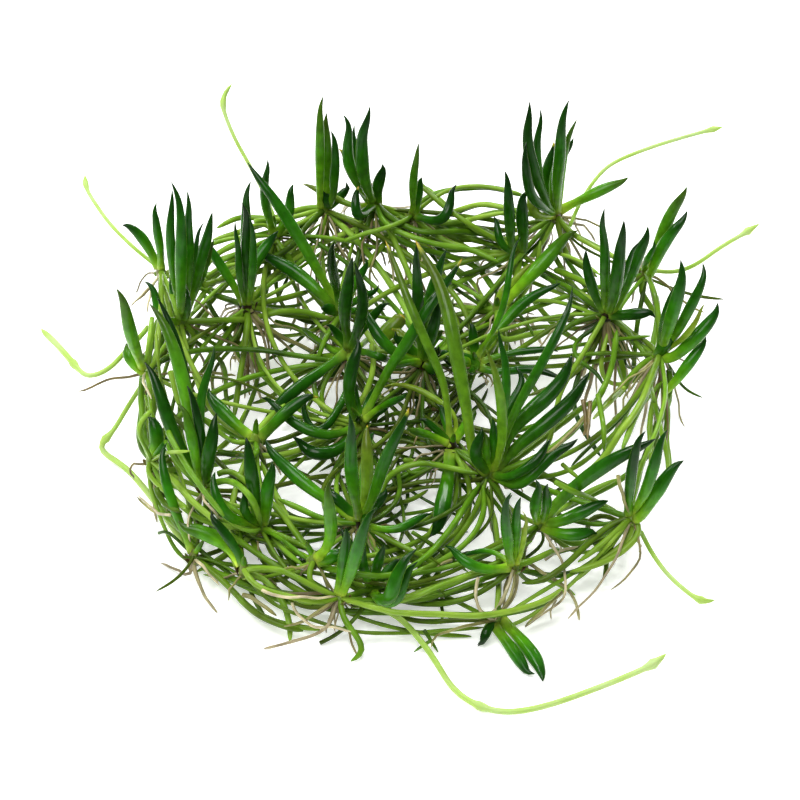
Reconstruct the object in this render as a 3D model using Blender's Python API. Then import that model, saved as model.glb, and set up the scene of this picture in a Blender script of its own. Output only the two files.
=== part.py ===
"""Shoreweed: a mat of small rosettes tied together by stolons wound into a ring, lying as it was
lifted out of the cup it grew in. Every rosette is a crown with its leaves, its roots and the short
stolons that leave it, grown together into one solid. Long stolons and free runners are pieces of
their own. Units below are millimetres, and the meshes are written in metres.

The mat is laid out the way a botanist's drawing is: each strand is a row of points across and down
a view of the mat, with heights above the ground, and the line of sight through each point gives its
place. Strands that would cut through each other are then slid apart along their lines of sight.
"""

import math

import bpy
import numpy as np

# Driving dimensions, in millimetres
CLEARANCE = 0.45
CROWN_RADIUS = 1.55
CROWN_HEIGHT = 1.25
STOLON_WIDTH = 1.15
RUNNER_WIDTH = 1.0
ROOT_WIDTH = 0.7
LEAF_THICKNESS = 0.62
LEAF_BASE = 0.72
STRAND_STEP = 0.8
RING_STEP = {"leaf": 7.0, "stolon": 5.5, "root": 6.0, "runner": 6.0}
SIDES = {"leaf": 4, "stolon": 4, "root": 3, "runner": 5}

# The view the mat is drawn in: 42 degrees above the ground, 7.1 picture points to a millimetre
VIEW_RISE = math.radians(42)
VIEW_DISTANCE = 500.0
POINTS_PER_MM = 7.1
VIEW_MIDDLE = (400.0, 400.0)
VIEW_AIM = np.array([-1.4, 14.5, 0.0])
MAT_MIDDLE = np.array([-1.18, 0.22, 0.32])

MM = 0.001

# Rosettes. Crown: across, down and height. Leaf: height of its tip, greatest width, then its course
# from base to tip. Stolon: height of its end, then its course away from the crown, where a third
# number is a height. Root: height of its end, width and course. Hanging: how many roots hang down.
ROSETTES = {
    "rosette_back_left": {
        "crown": (325, 208, 17.0),
        "leaves": [
            (36, 1.3, [(320, 203), (320, 170), (320, 140), (320, 96)]),
            (33, 1.4, [(326, 200), (326, 175), (327, 150), (325, 113)]),
            (31, 1.3, [(333, 198), (334, 180), (336, 155), (334, 142), (335, 131)]),
            (21, 1.3, [(330, 206), (327, 197), (321, 190)]),
            (20, 1.2, [(334, 204), (341, 196), (350, 185)]),
        ],
        "stolons": [
            (16, [(300, 212), (280, 222, 16), (262, 224), (240, 232), (213, 240)]),
            (14, [(306, 226), (291, 247), (264, 261), (238, 268)]),
            (17, [(303, 208), (290, 213), (270, 219), (240, 217), (217, 228)]),
        ],
        "hanging": 2,
    },
    "rosette_back_middle": {
        "crown": (375, 203, 17.5),
        "leaves": [
            (35, 1.5, [(372, 200), (358, 184), (348, 160), (348, 140), (350, 121), (347, 114)]),
            (33, 0.9, [(369, 196), (359, 172), (356, 150), (352, 125)]),
            (37, 1.7, [(372, 200), (364, 178), (362, 155), (362, 135), (367, 121), (374, 109)]),
            (27, 1.6, [(370, 202), (361, 187), (352, 172), (345, 160), (344, 148)]),
            (25, 1.6, [(378, 200), (377, 187), (381, 176), (385, 165)]),
            (23, 1.5, [(368, 210), (357, 218), (355, 203), (357, 186)]),
            (20, 1.0, [(362, 208), (350, 205), (335, 198), (318, 190), (303, 183)]),
        ],
        "stolons": [
            (15, [(390, 217), (421, 232), (462, 231), (503, 238)]),
            (14, [(388, 226), (431, 243), (472, 250), (498, 262)]),
        ],
        "hanging": 3,
    },
    "rosette_back_small": {
        "crown": (413, 215, 16.0),
        "leaves": [
            (31, 1.1, [(413, 211), (413, 190), (414, 172), (417, 158), (418, 143)]),
            (24, 1.3, [(416, 213), (417, 200), (419, 189), (421, 177)]),
            (22, 1.4, [(433, 221), (446, 219), (449, 207), (452, 196), (452, 184)]),
        ],
        "stolons": [
            (17, [(421, 202), (440, 192), (480, 187, 18), (504, 190), (522, 196)]),
        ],
        "hanging": 1,
    },
    "rosette_back_dark": {
        "crown": (518, 251, 14.0),
        "leaves": [
            (29, 1.5, [(512, 246), (510, 228), (509, 208), (508, 190), (507, 171)]),
            (26, 1.7, [(524, 247), (523, 232), (522, 217), (522, 204), (523, 190)]),
            (19, 1.1, [(506, 250), (500, 243), (497, 229), (496, 216)]),
        ],
        "stolons": [
            (10, [(506, 256), (492, 264), (477, 271), (458, 275)]),
            (15, [(500, 240), (477, 231), (451, 210, 17), (424, 186)]),
        ],
        "hanging": 1,
    },
    "rosette_back_right": {
        "crown": (556, 215, 17.5),
        "leaves": [
            (38, 1.6, [(551, 212), (544, 196), (535, 174), (529, 152), (527, 135), (529, 117), (534, 103)]),
            (36, 1.2, [(548, 204), (540, 182), (537, 158), (537, 138), (541, 123), (544, 110)]),
            (34, 1.4, [(544, 208), (531, 195), (526, 170), (524, 142)]),
            (39, 1.6, [(557, 206), (557, 182), (560, 155), (561, 130), (564, 113), (567, 100)]),
            (36, 1.0, [(560, 202), (562, 172), (566, 145), (571, 130), (578, 119)]),
            (31, 1.5, [(554, 209), (553, 190), (556, 172), (562, 155), (568, 147), (576, 141)]),
            (29, 1.7, [(550, 208), (546, 188), (548, 168), (552, 155), (556, 143)]),
            (22, 1.5, [(563, 208), (577, 202), (593, 194), (608, 187), (619, 183), (629, 179)]),
            (25, 1.3, [(543, 217), (532, 213), (531, 197), (532, 181)]),
        ],
        "stolons": [
            (15, [(571, 233), (599, 248), (622, 262)]),
            (13, [(540, 226), (513, 240), (497, 252)]),
            (12, [(548, 232), (536, 252), (524, 265)]),
            (14, [(567, 256, 15), (585, 267), (597, 277)]),
        ],
        "hanging": 3,
    },
    "rosette_back_inner": {
        "crown": (497, 309, 9.0),
        "leaves": [
            (18, 1.9, [(505, 302), (518, 289), (530, 276), (544, 262), (560, 243), (575, 228)]),
            (15, 1.0, [(499, 300), (509, 288), (521, 273), (534, 261)]),
            (14, 0.9, [(497, 300), (503, 291), (507, 282)]),
        ],
        "stolons": [
            (8, [(485, 309), (470, 308), (455, 306)]),
            (5, [(486, 318), (472, 330), (460, 340)]),
            (8, [(500, 340), (530, 334), (555, 331)]),
        ],
        "hanging": 2,
    },
    "rosette_right_back": {
        "crown": (646, 272, 16.0),
        "leaves": [
            (31, 1.7, [(650, 268), (656, 250), (664, 230), (671, 213), (680, 199), (689, 189)]),
            (27, 1.6, [(650, 276), (656, 260), (664, 244), (673, 231), (682, 222), (689, 212)]),
            (23, 0.9, [(644, 266), (650, 255), (657, 242)]),
        ],
        "stolons": [
            (9, [(640, 290), (652, 308), (660, 325)]),
        ],
        "hanging": 1,
    },
    "rosette_right_inner": {
        "crown": (606, 313, 15.0),
        "leaves": [
            (36, 1.4, [(605, 303), (605, 280), (605, 258), (604, 238), (601, 222), (606, 209)]),
            (35, 1.8, [(611, 306), (616, 284), (619, 262), (621, 243), (626, 221)]),
            (31, 0.9, [(614, 300), (625, 272), (631, 255), (636, 240)]),
            (31, 1.9, [(614, 308), (623, 290), (632, 268), (641, 248), (652, 229)]),
            (17, 1.6, [(616, 316), (628, 315), (642, 313), (655, 312)]),
            (26, 1.4, [(598, 303), (592, 286), (587, 270), (585, 250)]),
        ],
        "stolons": [
            (13, [(590, 303), (573, 290), (556, 281)]),
            (12, [(590, 318), (572, 323), (560, 335)]),
            (7, [(622, 325), (634, 335), (643, 350)]),
            (4, [(612, 335), (618, 360), (624, 385)]),
        ],
        "roots": [
            (4, 1.0, [(600, 328), (592, 350), (582, 376)]),
            (3, 1.0, [(604, 332), (602, 352), (592, 376), (586, 405)]),
        ],
        "hanging": 3,
    },
    "rosette_right": {
        "crown": (660, 354, 15.0),
        "leaves": [
            (32, 1.8, [(663, 346), (669, 325), (676, 302), (682, 280), (683, 260)]),
            (29, 1.2, [(660, 345), (663, 325), (670, 302), (679, 279)]),
            (29, 1.4, [(672, 340), (681, 325), (692, 304), (702, 284), (707, 264)]),
            (22, 1.8, [(670, 360), (684, 349), (699, 334), (710, 322), (721, 305)]),
            (20, 1.8, [(657, 356), (664, 345), (670, 337), (676, 325)]),
            (24, 0.8, [(684, 338), (695, 323), (702, 312), (702, 303)]),
            (18, 1.5, [(664, 393, 11.7), (673, 385), (684, 370), (696, 354), (708, 338)]),
        ],
        "stolons": [
            (6, [(642, 364), (621, 388), (597, 415)]),
            (5, [(664, 392), (668, 412), (666, 440), (671, 466)]),
        ],
        "roots": [
            (4, 0.9, [(655, 372), (654, 395), (652, 418)]),
            (3, 0.8, [(650, 372), (648, 396), (644, 420), (640, 445)]),
        ],
        "hanging": 2,
    },
    "rosette_right_front": {
        "crown": (632, 517, 9.5),
        "leaves": [
            (26, 1.5, [(628, 508), (630, 488), (632, 468), (636, 449), (641, 430)]),
            (25, 1.5, [(636, 509), (646, 490), (653, 469), (659, 448), (664, 429)]),
            (19, 1.7, [(640, 519), (649, 504), (660, 487), (671, 470), (682, 459)]),
            (6, 0.9, [(634, 522), (634, 529), (631, 537)]),
        ],
        "stolons": [
            (3, [(641, 528), (630, 545), (604, 562), (570, 572)]),
            (2, [(617, 533), (597, 560), (572, 583)]),
            (5, [(612, 524), (592, 540), (562, 568), (541, 581), (522, 583)]),
        ],
        "roots": [
            (1, 0.6, [(625, 536), (612, 561), (597, 585), (581, 605), (570, 618)]),
            (4, 0.5, [(636, 532), (640, 556), (629, 577), (612, 590)]),
        ],
        "hanging": 1,
    },
    "rosette_front_right_inner": {
        "crown": (540, 523, 9.0),
        "leaves": [
            (21, 1.4, [(536, 518), (535, 505), (541, 481)]),
            (20, 1.3, [(543, 519), (547, 504), (545, 484)]),
            (13, 1.7, [(552, 524), (567, 519), (582, 512), (595, 506), (608, 500)]),
            (9, 1.7, [(550, 531), (563, 535), (578, 535), (596, 530)]),
            (24, 1.9, [(550, 511), (566, 495), (585, 479), (610, 462), (633, 450), (656, 440)]),
        ],
        "stolons": [],
        "roots": [
            (1, 0.6, [(552, 545), (566, 572), (565, 596), (546, 611), (524, 628)]),
        ],
        "hanging": 1,
    },
    "rosette_front_right": {
        "crown": (514, 566, 7.5),
        "leaves": [
            (24, 1.4, [(510, 560), (508, 540), (505, 518), (507, 492)]),
            (23, 1.3, [(516, 560), (516, 540), (516, 518), (519, 497)]),
            (20, 0.7, [(520, 558), (524, 537), (528, 512)]),
            (11, 1.4, [(506, 568), (490, 570), (474, 567), (462, 560), (454, 552), (449, 543)]),
            (9, 0.7, [(506, 560), (495, 551), (480, 550), (462, 556)]),
        ],
        "stolons": [
            (4, [(534, 560), (548, 553, 9), (560, 549)]),
        ],
        "roots": [
            (2, 0.7, [(511, 577), (505, 597), (495, 612), (484, 615), (476, 604), (475, 586)]),
            (1, 0.65, [(518, 575), (514, 595), (501, 612), (485, 624)]),
            (1, 0.8, [(524, 560), (542, 571), (561, 583), (573, 597), (579, 621)]),
        ],
        "hanging": 1,
    },
    "rosette_front_bottom": {
        "crown": (496, 620, 2.6),
        "leaves": [
            (1.2, 1.8, [(502, 620), (514, 632), (527, 647), (538, 662), (544, 681)]),
            (1.0, 1.6, [(495, 626), (502, 636), (513, 650), (522, 664), (530, 677)]),
            (0.8, 0.9, [(488, 625), (483, 636), (481, 647)]),
        ],
        "stolons": [],
        "hanging": 0,
    },
    "rosette_front": {
        "crown": (340, 597, 6.0),
        "leaves": [
            (24, 1.6, [(344, 590), (350, 574), (356, 554), (363, 531), (372, 505)]),
            (19, 1.6, [(339, 590), (342, 572), (345, 552), (348, 528)]),
        ],
        "stolons": [
            (0.9, [(343, 618), (356, 635), (364, 652), (351, 661)]),
        ],
        "roots": [
            (0.6, 0.8, [(335, 607), (332, 622), (317, 634), (291, 641), (264, 649)]),
            (0.6, 0.6, [(341, 609), (349, 630), (352, 647), (359, 657)]),
            (0.8, 0.6, [(331, 606), (311, 617), (284, 627)]),
            (5, 0.7, [(330, 592), (306, 594), (280, 594), (260, 590)]),
        ],
        "hanging": 0,
    },
    "rosette_front_left_inner": {
        "crown": (314, 560, 9.0),
        "leaves": [
            (25, 1.6, [(320, 556), (329, 543), (331, 526), (329, 505), (326, 480)]),
            (11, 1.7, [(318, 562), (330, 558), (345, 550)]),
        ],
        "stolons": [
            (6, [(309, 573), (310, 583)]),
        ],
        "hanging": 1,
    },
    "rosette_front_left": {
        "crown": (244, 570, 6.0),
        "leaves": [
            (10, 1.9, [(240, 562), (233, 550), (218, 539), (199, 531), (177, 526)]),
            (13, 1.3, [(241, 558), (230, 540), (220, 527), (208, 514)]),
        ],
        "stolons": [
            (0.9, [(262, 578), (277, 592), (286, 610), (290, 627), (290, 642)]),
        ],
        "hanging": 1,
    },
    "rosette_front_left_upper": {
        "crown": (261, 527, 7.0),
        "leaves": [
            (17, 1.7, [(264, 520), (267, 505), (267, 488), (275, 462)]),
            (20, 1.8, [(257, 518), (254, 491), (250, 465), (247, 437)]),
            (16, 1.4, [(248, 523), (232, 519), (220, 507), (214, 490), (212, 472)]),
            (14, 1.2, [(250, 519), (242, 510), (244, 500), (246, 491)]),
        ],
        "stolons": [
            (6, [(280, 520), (299, 525), (322, 527)]),
            (7, [(276, 534), (296, 542), (308, 549)]),
        ],
        "hanging": 1,
    },
    "rosette_left_front": {
        "crown": (194, 557, 3.5),
        "leaves": [
            (17, 1.3, [(190, 547), (183, 530), (175, 510), (167, 486), (162, 463), (162, 443)]),
        ],
        "stolons": [
            (3, [(208, 568), (225, 576), (255, 587), (300, 600)]),
            (2, [(216, 575), (232, 590), (255, 613), (283, 626), (303, 631)]),
        ],
        "roots": [
            (0.6, 0.7, [(192, 573), (184, 576), (175, 570), (163, 563)]),
            (0.6, 0.8, [(195, 573), (203, 594), (217, 612)]),
            (2.5, 0.6, [(186, 540), (179, 522), (166, 516), (152, 512), (138, 496)]),
        ],
        "hanging": 0,
    },
    "rosette_left_front_inner": {
        "crown": (205, 487, 7.5),
        "leaves": [
            (20, 1.8, [(206, 480), (207, 466), (210, 448), (214, 430), (214, 413)]),
            (21, 1.4, [(201, 480), (196, 461), (192, 438), (187, 418), (183, 402)]),
            (23, 1.3, [(203, 478), (203, 452), (199, 425), (194, 403), (189, 385)]),
            (24, 1.7, [(198, 478), (188, 462), (179, 445), (168, 420), (160, 394), (148, 361)]),
            (30, 1.8, [(200, 470), (193, 435), (187, 400), (180, 370), (172, 343), (162, 320), (151, 303)]),
            (30, 1.3, [(198, 462), (189, 400), (181, 360), (172, 328), (163, 309), (154, 297)]),
            (26, 1.2, [(204, 470), (200, 430), (201, 398), (208, 373), (218, 348)]),
        ],
        "stolons": [
            (6, [(194, 478), (181, 460), (168, 443)]),
        ],
        "hanging": 2,
    },
    "rosette_left_low": {
        "crown": (151, 461, 9.5),
        "leaves": [
            (15, 1.9, [(154, 456), (157, 444), (158, 433), (154, 424), (150, 416)]),
            (14, 0.9, [(160, 451), (165, 444), (168, 437)]),
        ],
        "stolons": [
            (5, [(148, 475), (157, 489), (172, 500)]),
            (12, [(147, 448), (138, 432), (142, 420), (150, 413)]),
        ],
        "hanging": 1,
    },
    "rosette_left": {
        "crown": (146, 370, 14.5),
        "leaves": [
            (32, 1.7, [(142, 366), (135, 347), (129, 327), (125, 307), (119, 288)]),
            (18, 1.6, [(142, 371), (134, 366), (128, 355), (127, 343)]),
        ],
        "stolons": [
            (13, [(149, 357), (152, 338), (158, 318)]),
            (7, [(153, 385), (153, 405), (152, 428)]),
            (6, [(159, 375), (163, 392), (168, 408)]),
        ],
        "roots": [(8, 0.7, [(144, 376), (147, 388), (150, 398)])],
        "hanging": 1,
    },
    "rosette_left_back": {
        "crown": (181, 320, 13.5),
        "leaves": [
            (38, 1.5, [(181, 310), (181, 282), (181, 252), (181, 222), (179, 200), (174, 181)]),
            (35, 1.3, [(178, 300), (173, 265), (170, 237), (171, 213), (174, 190)]),
            (36, 1.4, [(184, 308), (187, 280), (189, 250), (188, 220), (191, 192)]),
            (31, 0.8, [(186, 308), (191, 275), (196, 247), (200, 221)]),
            (31, 1.6, [(188, 305), (195, 282), (202, 255), (209, 232), (211, 212)]),
            (26, 1.4, [(184, 318), (188, 307), (197, 285), (205, 263), (213, 240)]),
            (24, 1.4, [(187, 315), (186, 302), (182, 284), (179, 266)]),
            (21, 1.2, [(170, 322), (158, 312), (156, 298), (154, 287), (146, 280)]),
            (22, 0.9, [(176, 310), (172, 288), (171, 270)]),
        ],
        "stolons": [
            (7, [(196, 337), (187, 352), (184, 372)]),
        ],
        "hanging": 2,
    },
    "rosette_left_outer": {
        "crown": (161, 272, 17.0),
        "leaves": [
            (24, 1.4, [(158, 267), (151, 252), (142, 237), (133, 228), (123, 223)]),
            (29, 1.2, [(161, 266), (160, 246), (156, 226), (156, 213), (152, 204)]),
        ],
        "stolons": [
            (14, [(161, 290), (165, 305), (172, 316)]),
        ],
        "roots": [(10, 0.55, [(155, 281), (149, 288), (132, 307)])],
        "hanging": 1,
    },
    "rosette_left_inner": {
        "crown": (247, 306, 13.0),
        "leaves": [
            (36, 1.5, [(246, 298), (246, 262), (246, 228), (246, 203), (246, 181)]),
            (33, 1.6, [(247, 301), (247, 276), (247, 248), (247, 224), (247, 203)]),
            (31, 1.1, [(250, 296), (253, 262), (253, 235), (251, 216)]),
            (30, 0.9, [(243, 298), (239, 272), (238, 246), (233, 221)]),
            (23, 1.3, [(242, 300), (231, 281), (219, 263), (211, 250), (201, 235)]),
            (20, 1.6, [(250, 296), (251, 270), (260, 254), (270, 242), (277, 230)]),
        ],
        "stolons": [
            (9, [(262, 309), (282, 314, 11), (310, 317), (333, 318)]),
            (10, [(262, 303), (285, 298, 12), (310, 291)]),
            (6, [(248, 322), (245, 347), (240, 376), (234, 418)]),
        ],
        "roots": [
            (5, 1.0, [(256, 318), (275, 333), (300, 346), (318, 352)]),
            (4, 0.7, [(258, 322), (280, 340), (300, 359)]),
            (3, 0.6, [(254, 322), (266, 345), (268, 372), (277, 397)]),
            (4, 0.7, [(240, 318), (232, 345), (243, 366), (255, 374)]),
            (5, 0.7, [(236, 312), (222, 322), (208, 312), (202, 300)]),
        ],
        "hanging": 2,
    },
    "rosette_back_far_left": {
        "crown": (274, 236, 16.0),
        "leaves": [
            (31, 1.3, [(272, 228), (267, 211), (264, 193), (266, 174), (271, 161)]),
            (25, 1.4, [(281, 229), (289, 215), (290, 202), (291, 184)]),
        ],
        "stolons": [
            (12, [(262, 247), (243, 257), (222, 270), (208, 283)]),
        ],
        "hanging": 2,
    },
    "rosette_centre_back": {
        "crown": (340, 313, 11.0),
        "leaves": [
            (31, 1.6, [(335, 301), (321, 276), (304, 246), (288, 220), (271, 195), (258, 178), (247, 163)]),
            (17, 1.9, [(332, 305), (317, 290), (298, 274), (276, 261), (257, 252)]),
            (31, 1.4, [(339, 304), (337, 290), (333, 272), (331, 257), (332, 241)]),
        ],
        "stolons": [
            (5, [(330, 323), (322, 332), (321, 340)]),
            (8.5, [(352, 313), (364, 328), (376, 348), (394, 364)]),
        ],
        "hanging": 1,
    },
    "rosette_centre_left": {
        "crown": (349, 350, 11.0),
        "leaves": [
            (31, 1.7, [(348, 341), (345, 323), (345, 303), (349, 281), (351, 257)]),
            (30, 1.5, [(353, 342), (360, 322), (363, 300), (360, 281), (354, 263)]),
            (9, 1.7, [(346, 353), (335, 361), (317, 374), (300, 386), (284, 400), (268, 420), (258, 434)]),
            (9, 1.1, [(351, 361), (349, 385), (336, 413), (320, 433), (308, 424), (303, 405), (306, 393)]),
        ],
        "stolons": [
            (8, [(341, 355), (325, 345), (303, 329)]),
        ],
        "hanging": 1,
    },
    "rosette_centre": {
        "crown": (423, 362, 11.0),
        "leaves": [
            (33, 1.5, [(422, 354), (420, 330), (418, 300), (417, 275), (415, 243)]),
            (24, 1.6, [(425, 354), (430, 338), (436, 318), (439, 296)]),
            (32, 1.5, [(423, 351), (424, 325), (429, 300), (437, 275), (445, 249)]),
            (18, 1.5, [(414, 363), (401, 357), (386, 345), (373, 328), (364, 305)]),
            (15, 1.9, [(410, 352), (402, 340), (396, 327)]),
        ],
        "stolons": [
            (8, [(437, 356), (450, 345), (455, 335)]),
        ],
        "hanging": 2,
    },
    "rosette_centre_front": {
        "crown": (452, 446, 8.5),
        "leaves": [
            (6, 2.2, [(450, 456), (448, 478), (444, 500), (440, 520), (433, 538)]),
            (30, 1.2, [(450, 436), (447, 402), (441, 375), (430, 351), (420, 328), (409, 302), (397, 270), (386, 240)]),
            (13, 0.8, [(455, 436), (456, 415), (440, 402), (420, 390), (400, 384), (381, 386)]),
        ],
        "stolons": [],
        "roots": [
            (7, 0.5, [(440, 446), (420, 446), (396, 448)]),
            (7, 0.5, [(441, 438), (428, 428), (412, 444)]),
        ],
        "hanging": 2,
    },
    "rosette_centre_dark": {
        "crown": (361, 423, 8.0),
        "leaves": [
            (27, 1.5, [(367, 411), (378, 390), (390, 367), (402, 350), (414, 331), (428, 308), (444, 286), (463, 259)]),
            (20, 1.7, [(354, 415), (349, 398), (350, 376), (355, 357), (362, 339)]),
            (12, 1.4, [(350, 429), (330, 436), (306, 430), (286, 416), (274, 405), (265, 394)]),
            (9, 1.7, [(352, 434), (344, 445), (330, 453), (315, 455), (303, 447), (296, 435)]),
        ],
        "stolons": [],
        "hanging": 1,
    },
    "rosette_centre_right": {
        "crown": (491, 473, 8.5),
        "leaves": [
            (30, 1.3, [(497, 463), (502, 440), (502, 412), (499, 390), (495, 371), (487, 349)]),
            (19, 1.2, [(494, 463), (495, 447), (493, 432), (494, 418)]),
            (17, 1.6, [(482, 466), (474, 457), (477, 443), (484, 428)]),
            (18, 1.1, [(488, 464), (486, 450), (487, 432)]),
            (20, 2.0, [(499, 460), (510, 432), (528, 413), (547, 397), (562, 380), (573, 355)]),
            (17, 2.0, [(501, 463), (517, 447), (540, 428), (562, 410), (577, 393), (588, 372)]),
            (28, 1.2, [(496, 458), (500, 427), (506, 396), (506, 369), (503, 349), (494, 331)]),
            (18, 1.3, [(499, 452), (503, 421), (514, 399), (524, 381), (518, 366)]),
            (14, 1.7, [(500, 478), (514, 487), (527, 480), (541, 465), (556, 451), (568, 446), (579, 443)]),
            (15, 1.3, [(506, 478), (524, 470), (542, 455), (549, 438)]),
            (34, 1.8, [(481, 470), (473, 455), (469, 427), (465, 400), (455, 347), (447, 308), (434, 272), (413, 241)]),
            (31, 1.3, [(499, 455), (509, 425), (521, 400), (535, 375), (549, 350), (562, 324), (577, 289)]),
        ],
        "stolons": [
            (9, [(502, 469), (532, 447), (570, 417), (584, 406), (592, 401)]),
        ],
        "hanging": 2,
    },
    "rosette_centre_strap": {
        "crown": (476, 364, 8.0),
        "leaves": [
            (15, 1.5, [(480, 355), (492, 337), (506, 321), (520, 305), (533, 296), (546, 289), (561, 284)]),
            (24, 0.9, [(478, 354), (490, 337), (500, 316), (506, 296), (510, 268), (516, 236)]),
            (10, 1.0, [(486, 360), (510, 353), (535, 350), (558, 348)]),
            (8, 1.2, [(486, 371), (503, 372), (522, 369), (541, 370), (562, 379)]),
            (10, 1.6, [(474, 372), (480, 364), (466, 357), (446, 365)]),
        ],
        "stolons": [
            (7, [(470, 352), (458, 353, 9), (442, 360)]),
        ],
        "hanging": 1,
    },
    "rosette_front_middle": {
        "crown": (360, 522, 8.0),
        "leaves": [
            (29, 1.7, [(358, 514), (354, 492), (351, 467), (351, 442), (353, 414)]),
            (14, 1.7, [(350, 516), (332, 503), (310, 488), (290, 471), (275, 456), (263, 441)]),
            (27, 1.6, [(366, 513), (374, 494), (381, 472), (390, 449), (400, 429), (411, 409)]),
            (20, 1.6, [(363, 512), (367, 486), (367, 454), (366, 425)]),
            (9, 1.1, [(374, 528), (399, 530), (416, 519), (431, 512)]),
        ],
        "stolons": [
            (8, [(350, 523), (325, 520), (301, 509), (278, 499)]),
        ],
        "hanging": 2,
    },
    "rosette_front_under": {
        "crown": (372, 590, 4.0),
        "leaves": [
            (14, 1.3, [(368, 580), (362, 562), (364, 545)]),
            (14, 1.3, [(374, 580), (378, 562), (385, 545)]),
            (15, 1.7, [(380, 600), (391, 598), (394, 582), (401, 567), (413, 547)]),
            (13, 1.4, [(384, 603), (398, 600), (404, 580), (415, 560)]),
        ],
        "stolons": [],
        "hanging": 0,
    },
    "rosette_inner_left": {
        "crown": (255, 441, 9.5),
        "leaves": [
            (13, 1.7, [(250, 436), (238, 427), (224, 413), (213, 401), (206, 390)]),
            (15, 1.7, [(262, 436), (273, 425), (287, 411), (301, 400), (316, 393)]),
        ],
        "stolons": [
            (11, [(258, 430), (275, 412), (285, 404)]),
            (7, [(240, 437), (215, 425), (201, 417)]),
        ],
        "hanging": 1,
    },
}

# Long stolons: height of the start and of the end, then the course
STOLONS = {
    "stolon_back_upper": (15, 17, [(457, 212), (479, 204, 17), (501, 207), (540, 217)]),
    "stolon_back_middle": (16, 13, [(436, 223), (465, 221, 17), (500, 212), (530, 222)]),
    "stolon_back_lower": (14, 10, [(379, 221), (402, 242), (437, 253), (475, 266), (498, 295)]),
    "stolon_left_back": (13, 16, [(200, 276), (214, 256), (238, 243), (262, 234, 15), (290, 228), (309, 218)]),
    "stolon_right": (12, 6, [(656, 297), (658, 312), (654, 340), (644, 376), (630, 405), (612, 440, 4), (596, 468), (573, 490, 5)]),
    "stolon_right_outer": (12, 5, [(669, 370), (671, 388), (665, 405), (655, 430), (640, 470), (634, 500)]),
    "stolon_right_inner": (10, 4, [(653, 402), (660, 421), (648, 455), (620, 480), (585, 498), (555, 513)]),
    "stolon_centre_left": (9, 7, [(372, 345), (373, 370), (362, 400), (337, 430), (305, 448), (272, 456), (218, 452)]),
    "stolon_centre_front": (8, 7.5, [(322, 567), (345, 572, 9), (388, 576), (421, 561), (448, 532), (480, 484)]),
    "stolon_front_inner_right": (7, 9, [(516, 461), (542, 474), (571, 489), (597, 503), (618, 512)]),
    "stolon_middle": (6, 9, [(370, 511), (379, 498), (384, 483), (397, 470), (422, 463), (450, 468), (478, 474)]),
    "stolon_front_upper": (3.5, 6, [(351, 605), (385, 605), (421, 592), (460, 579), (501, 568)]),
    "stolon_front_lower": (3, 4, [(312, 606), (345, 611), (400, 613), (455, 615, 4), (500, 614, 5), (540, 605), (562, 592)]),
    "stolon_front_left": (7, 4.5, [(231, 535), (255, 552), (285, 572), (326, 593)]),
    "stolon_left": (5.5, 6, [(161, 446), (180, 484), (197, 508), (221, 532)]),
    "stolon_left_inner": (8, 7, [(218, 474), (230, 470), (251, 486), (277, 508), (295, 532), (306, 549)]),
}

# Free runners, from the mat to the tip of the bud: heights of both ends, then the course
RUNNERS = {
    "runner_back_left": (14, 18, [(154, 264), (133, 247), (110, 224), (95, 203), (86, 188), (85, 175)]),
    "runner_back": (17, 31, [(275, 220), (266, 197), (250, 166), (236, 141), (227, 120), (222, 104), (225, 92), (232, 84)]),
    "runner_left": (12, 9, [(148, 327), (141, 336), (124, 353), (110, 368), (90, 377), (80, 371), (62, 350), (41, 329)]),
    "runner_back_right": (16, 25, [(570, 226), (580, 203), (595, 180), (613, 163), (655, 146), (706, 131), (723, 127)]),
    "runner_right": (14, 17, [(656, 271), (675, 272), (695, 265), (721, 247), (745, 233), (759, 224)]),
    "runner_left_front": (7, 1, [(143, 383), (127, 408), (112, 433, 4), (99, 448, 2), (127, 469, 1.5), (155, 502), (185, 546)]),
    "runner_front": (5, 7, [(352, 600), (375, 606), (402, 620, 3), (430, 653), (452, 687, 1), (475, 704), (505, 712, 1),
                            (545, 706), (600, 687, 3), (650, 666), (666, 654)]),
    "runner_front_right": (5, 2, [(641, 532), (652, 553), (670, 577), (698, 600), (708, 602), (715, 600)]),
}
RUNNER_BUD = {"runner_left_front": [(97, 447), (85, 444), (70, 443)]}

COLOURS = {
    "rosette": (0.055, 0.19, 0.018),
    "stolon": (0.16, 0.33, 0.03),
    "runner": (0.42, 0.56, 0.17),
}


def linked_axes():
    """Across, up and forward directions of the view, and the place it is seen from."""
    forward = np.array([0.0, math.cos(VIEW_RISE), -math.sin(VIEW_RISE)])
    up = np.array([0.0, math.sin(VIEW_RISE), math.cos(VIEW_RISE)])
    across = np.array([1.0, 0.0, 0.0])
    return across, up, forward, VIEW_AIM - VIEW_DISTANCE * forward


def sight_lines(picture):
    """Unit direction of the line of sight through each picture point."""
    across, up, forward, _ = linked_axes()
    offset = (np.asarray(picture, float) - VIEW_MIDDLE) / (POINTS_PER_MM * VIEW_DISTANCE)
    lines = forward + offset[:, :1] * across - offset[:, 1:] * up
    return lines / np.linalg.norm(lines, axis=1, keepdims=True)


def placed(picture, heights):
    """Points where the lines of sight reach the given heights above the ground."""
    eye = linked_axes()[3]
    lines = sight_lines(picture)
    return eye + lines * ((np.asarray(heights, float) - eye[2]) / lines[:, 2])[:, None]


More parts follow.
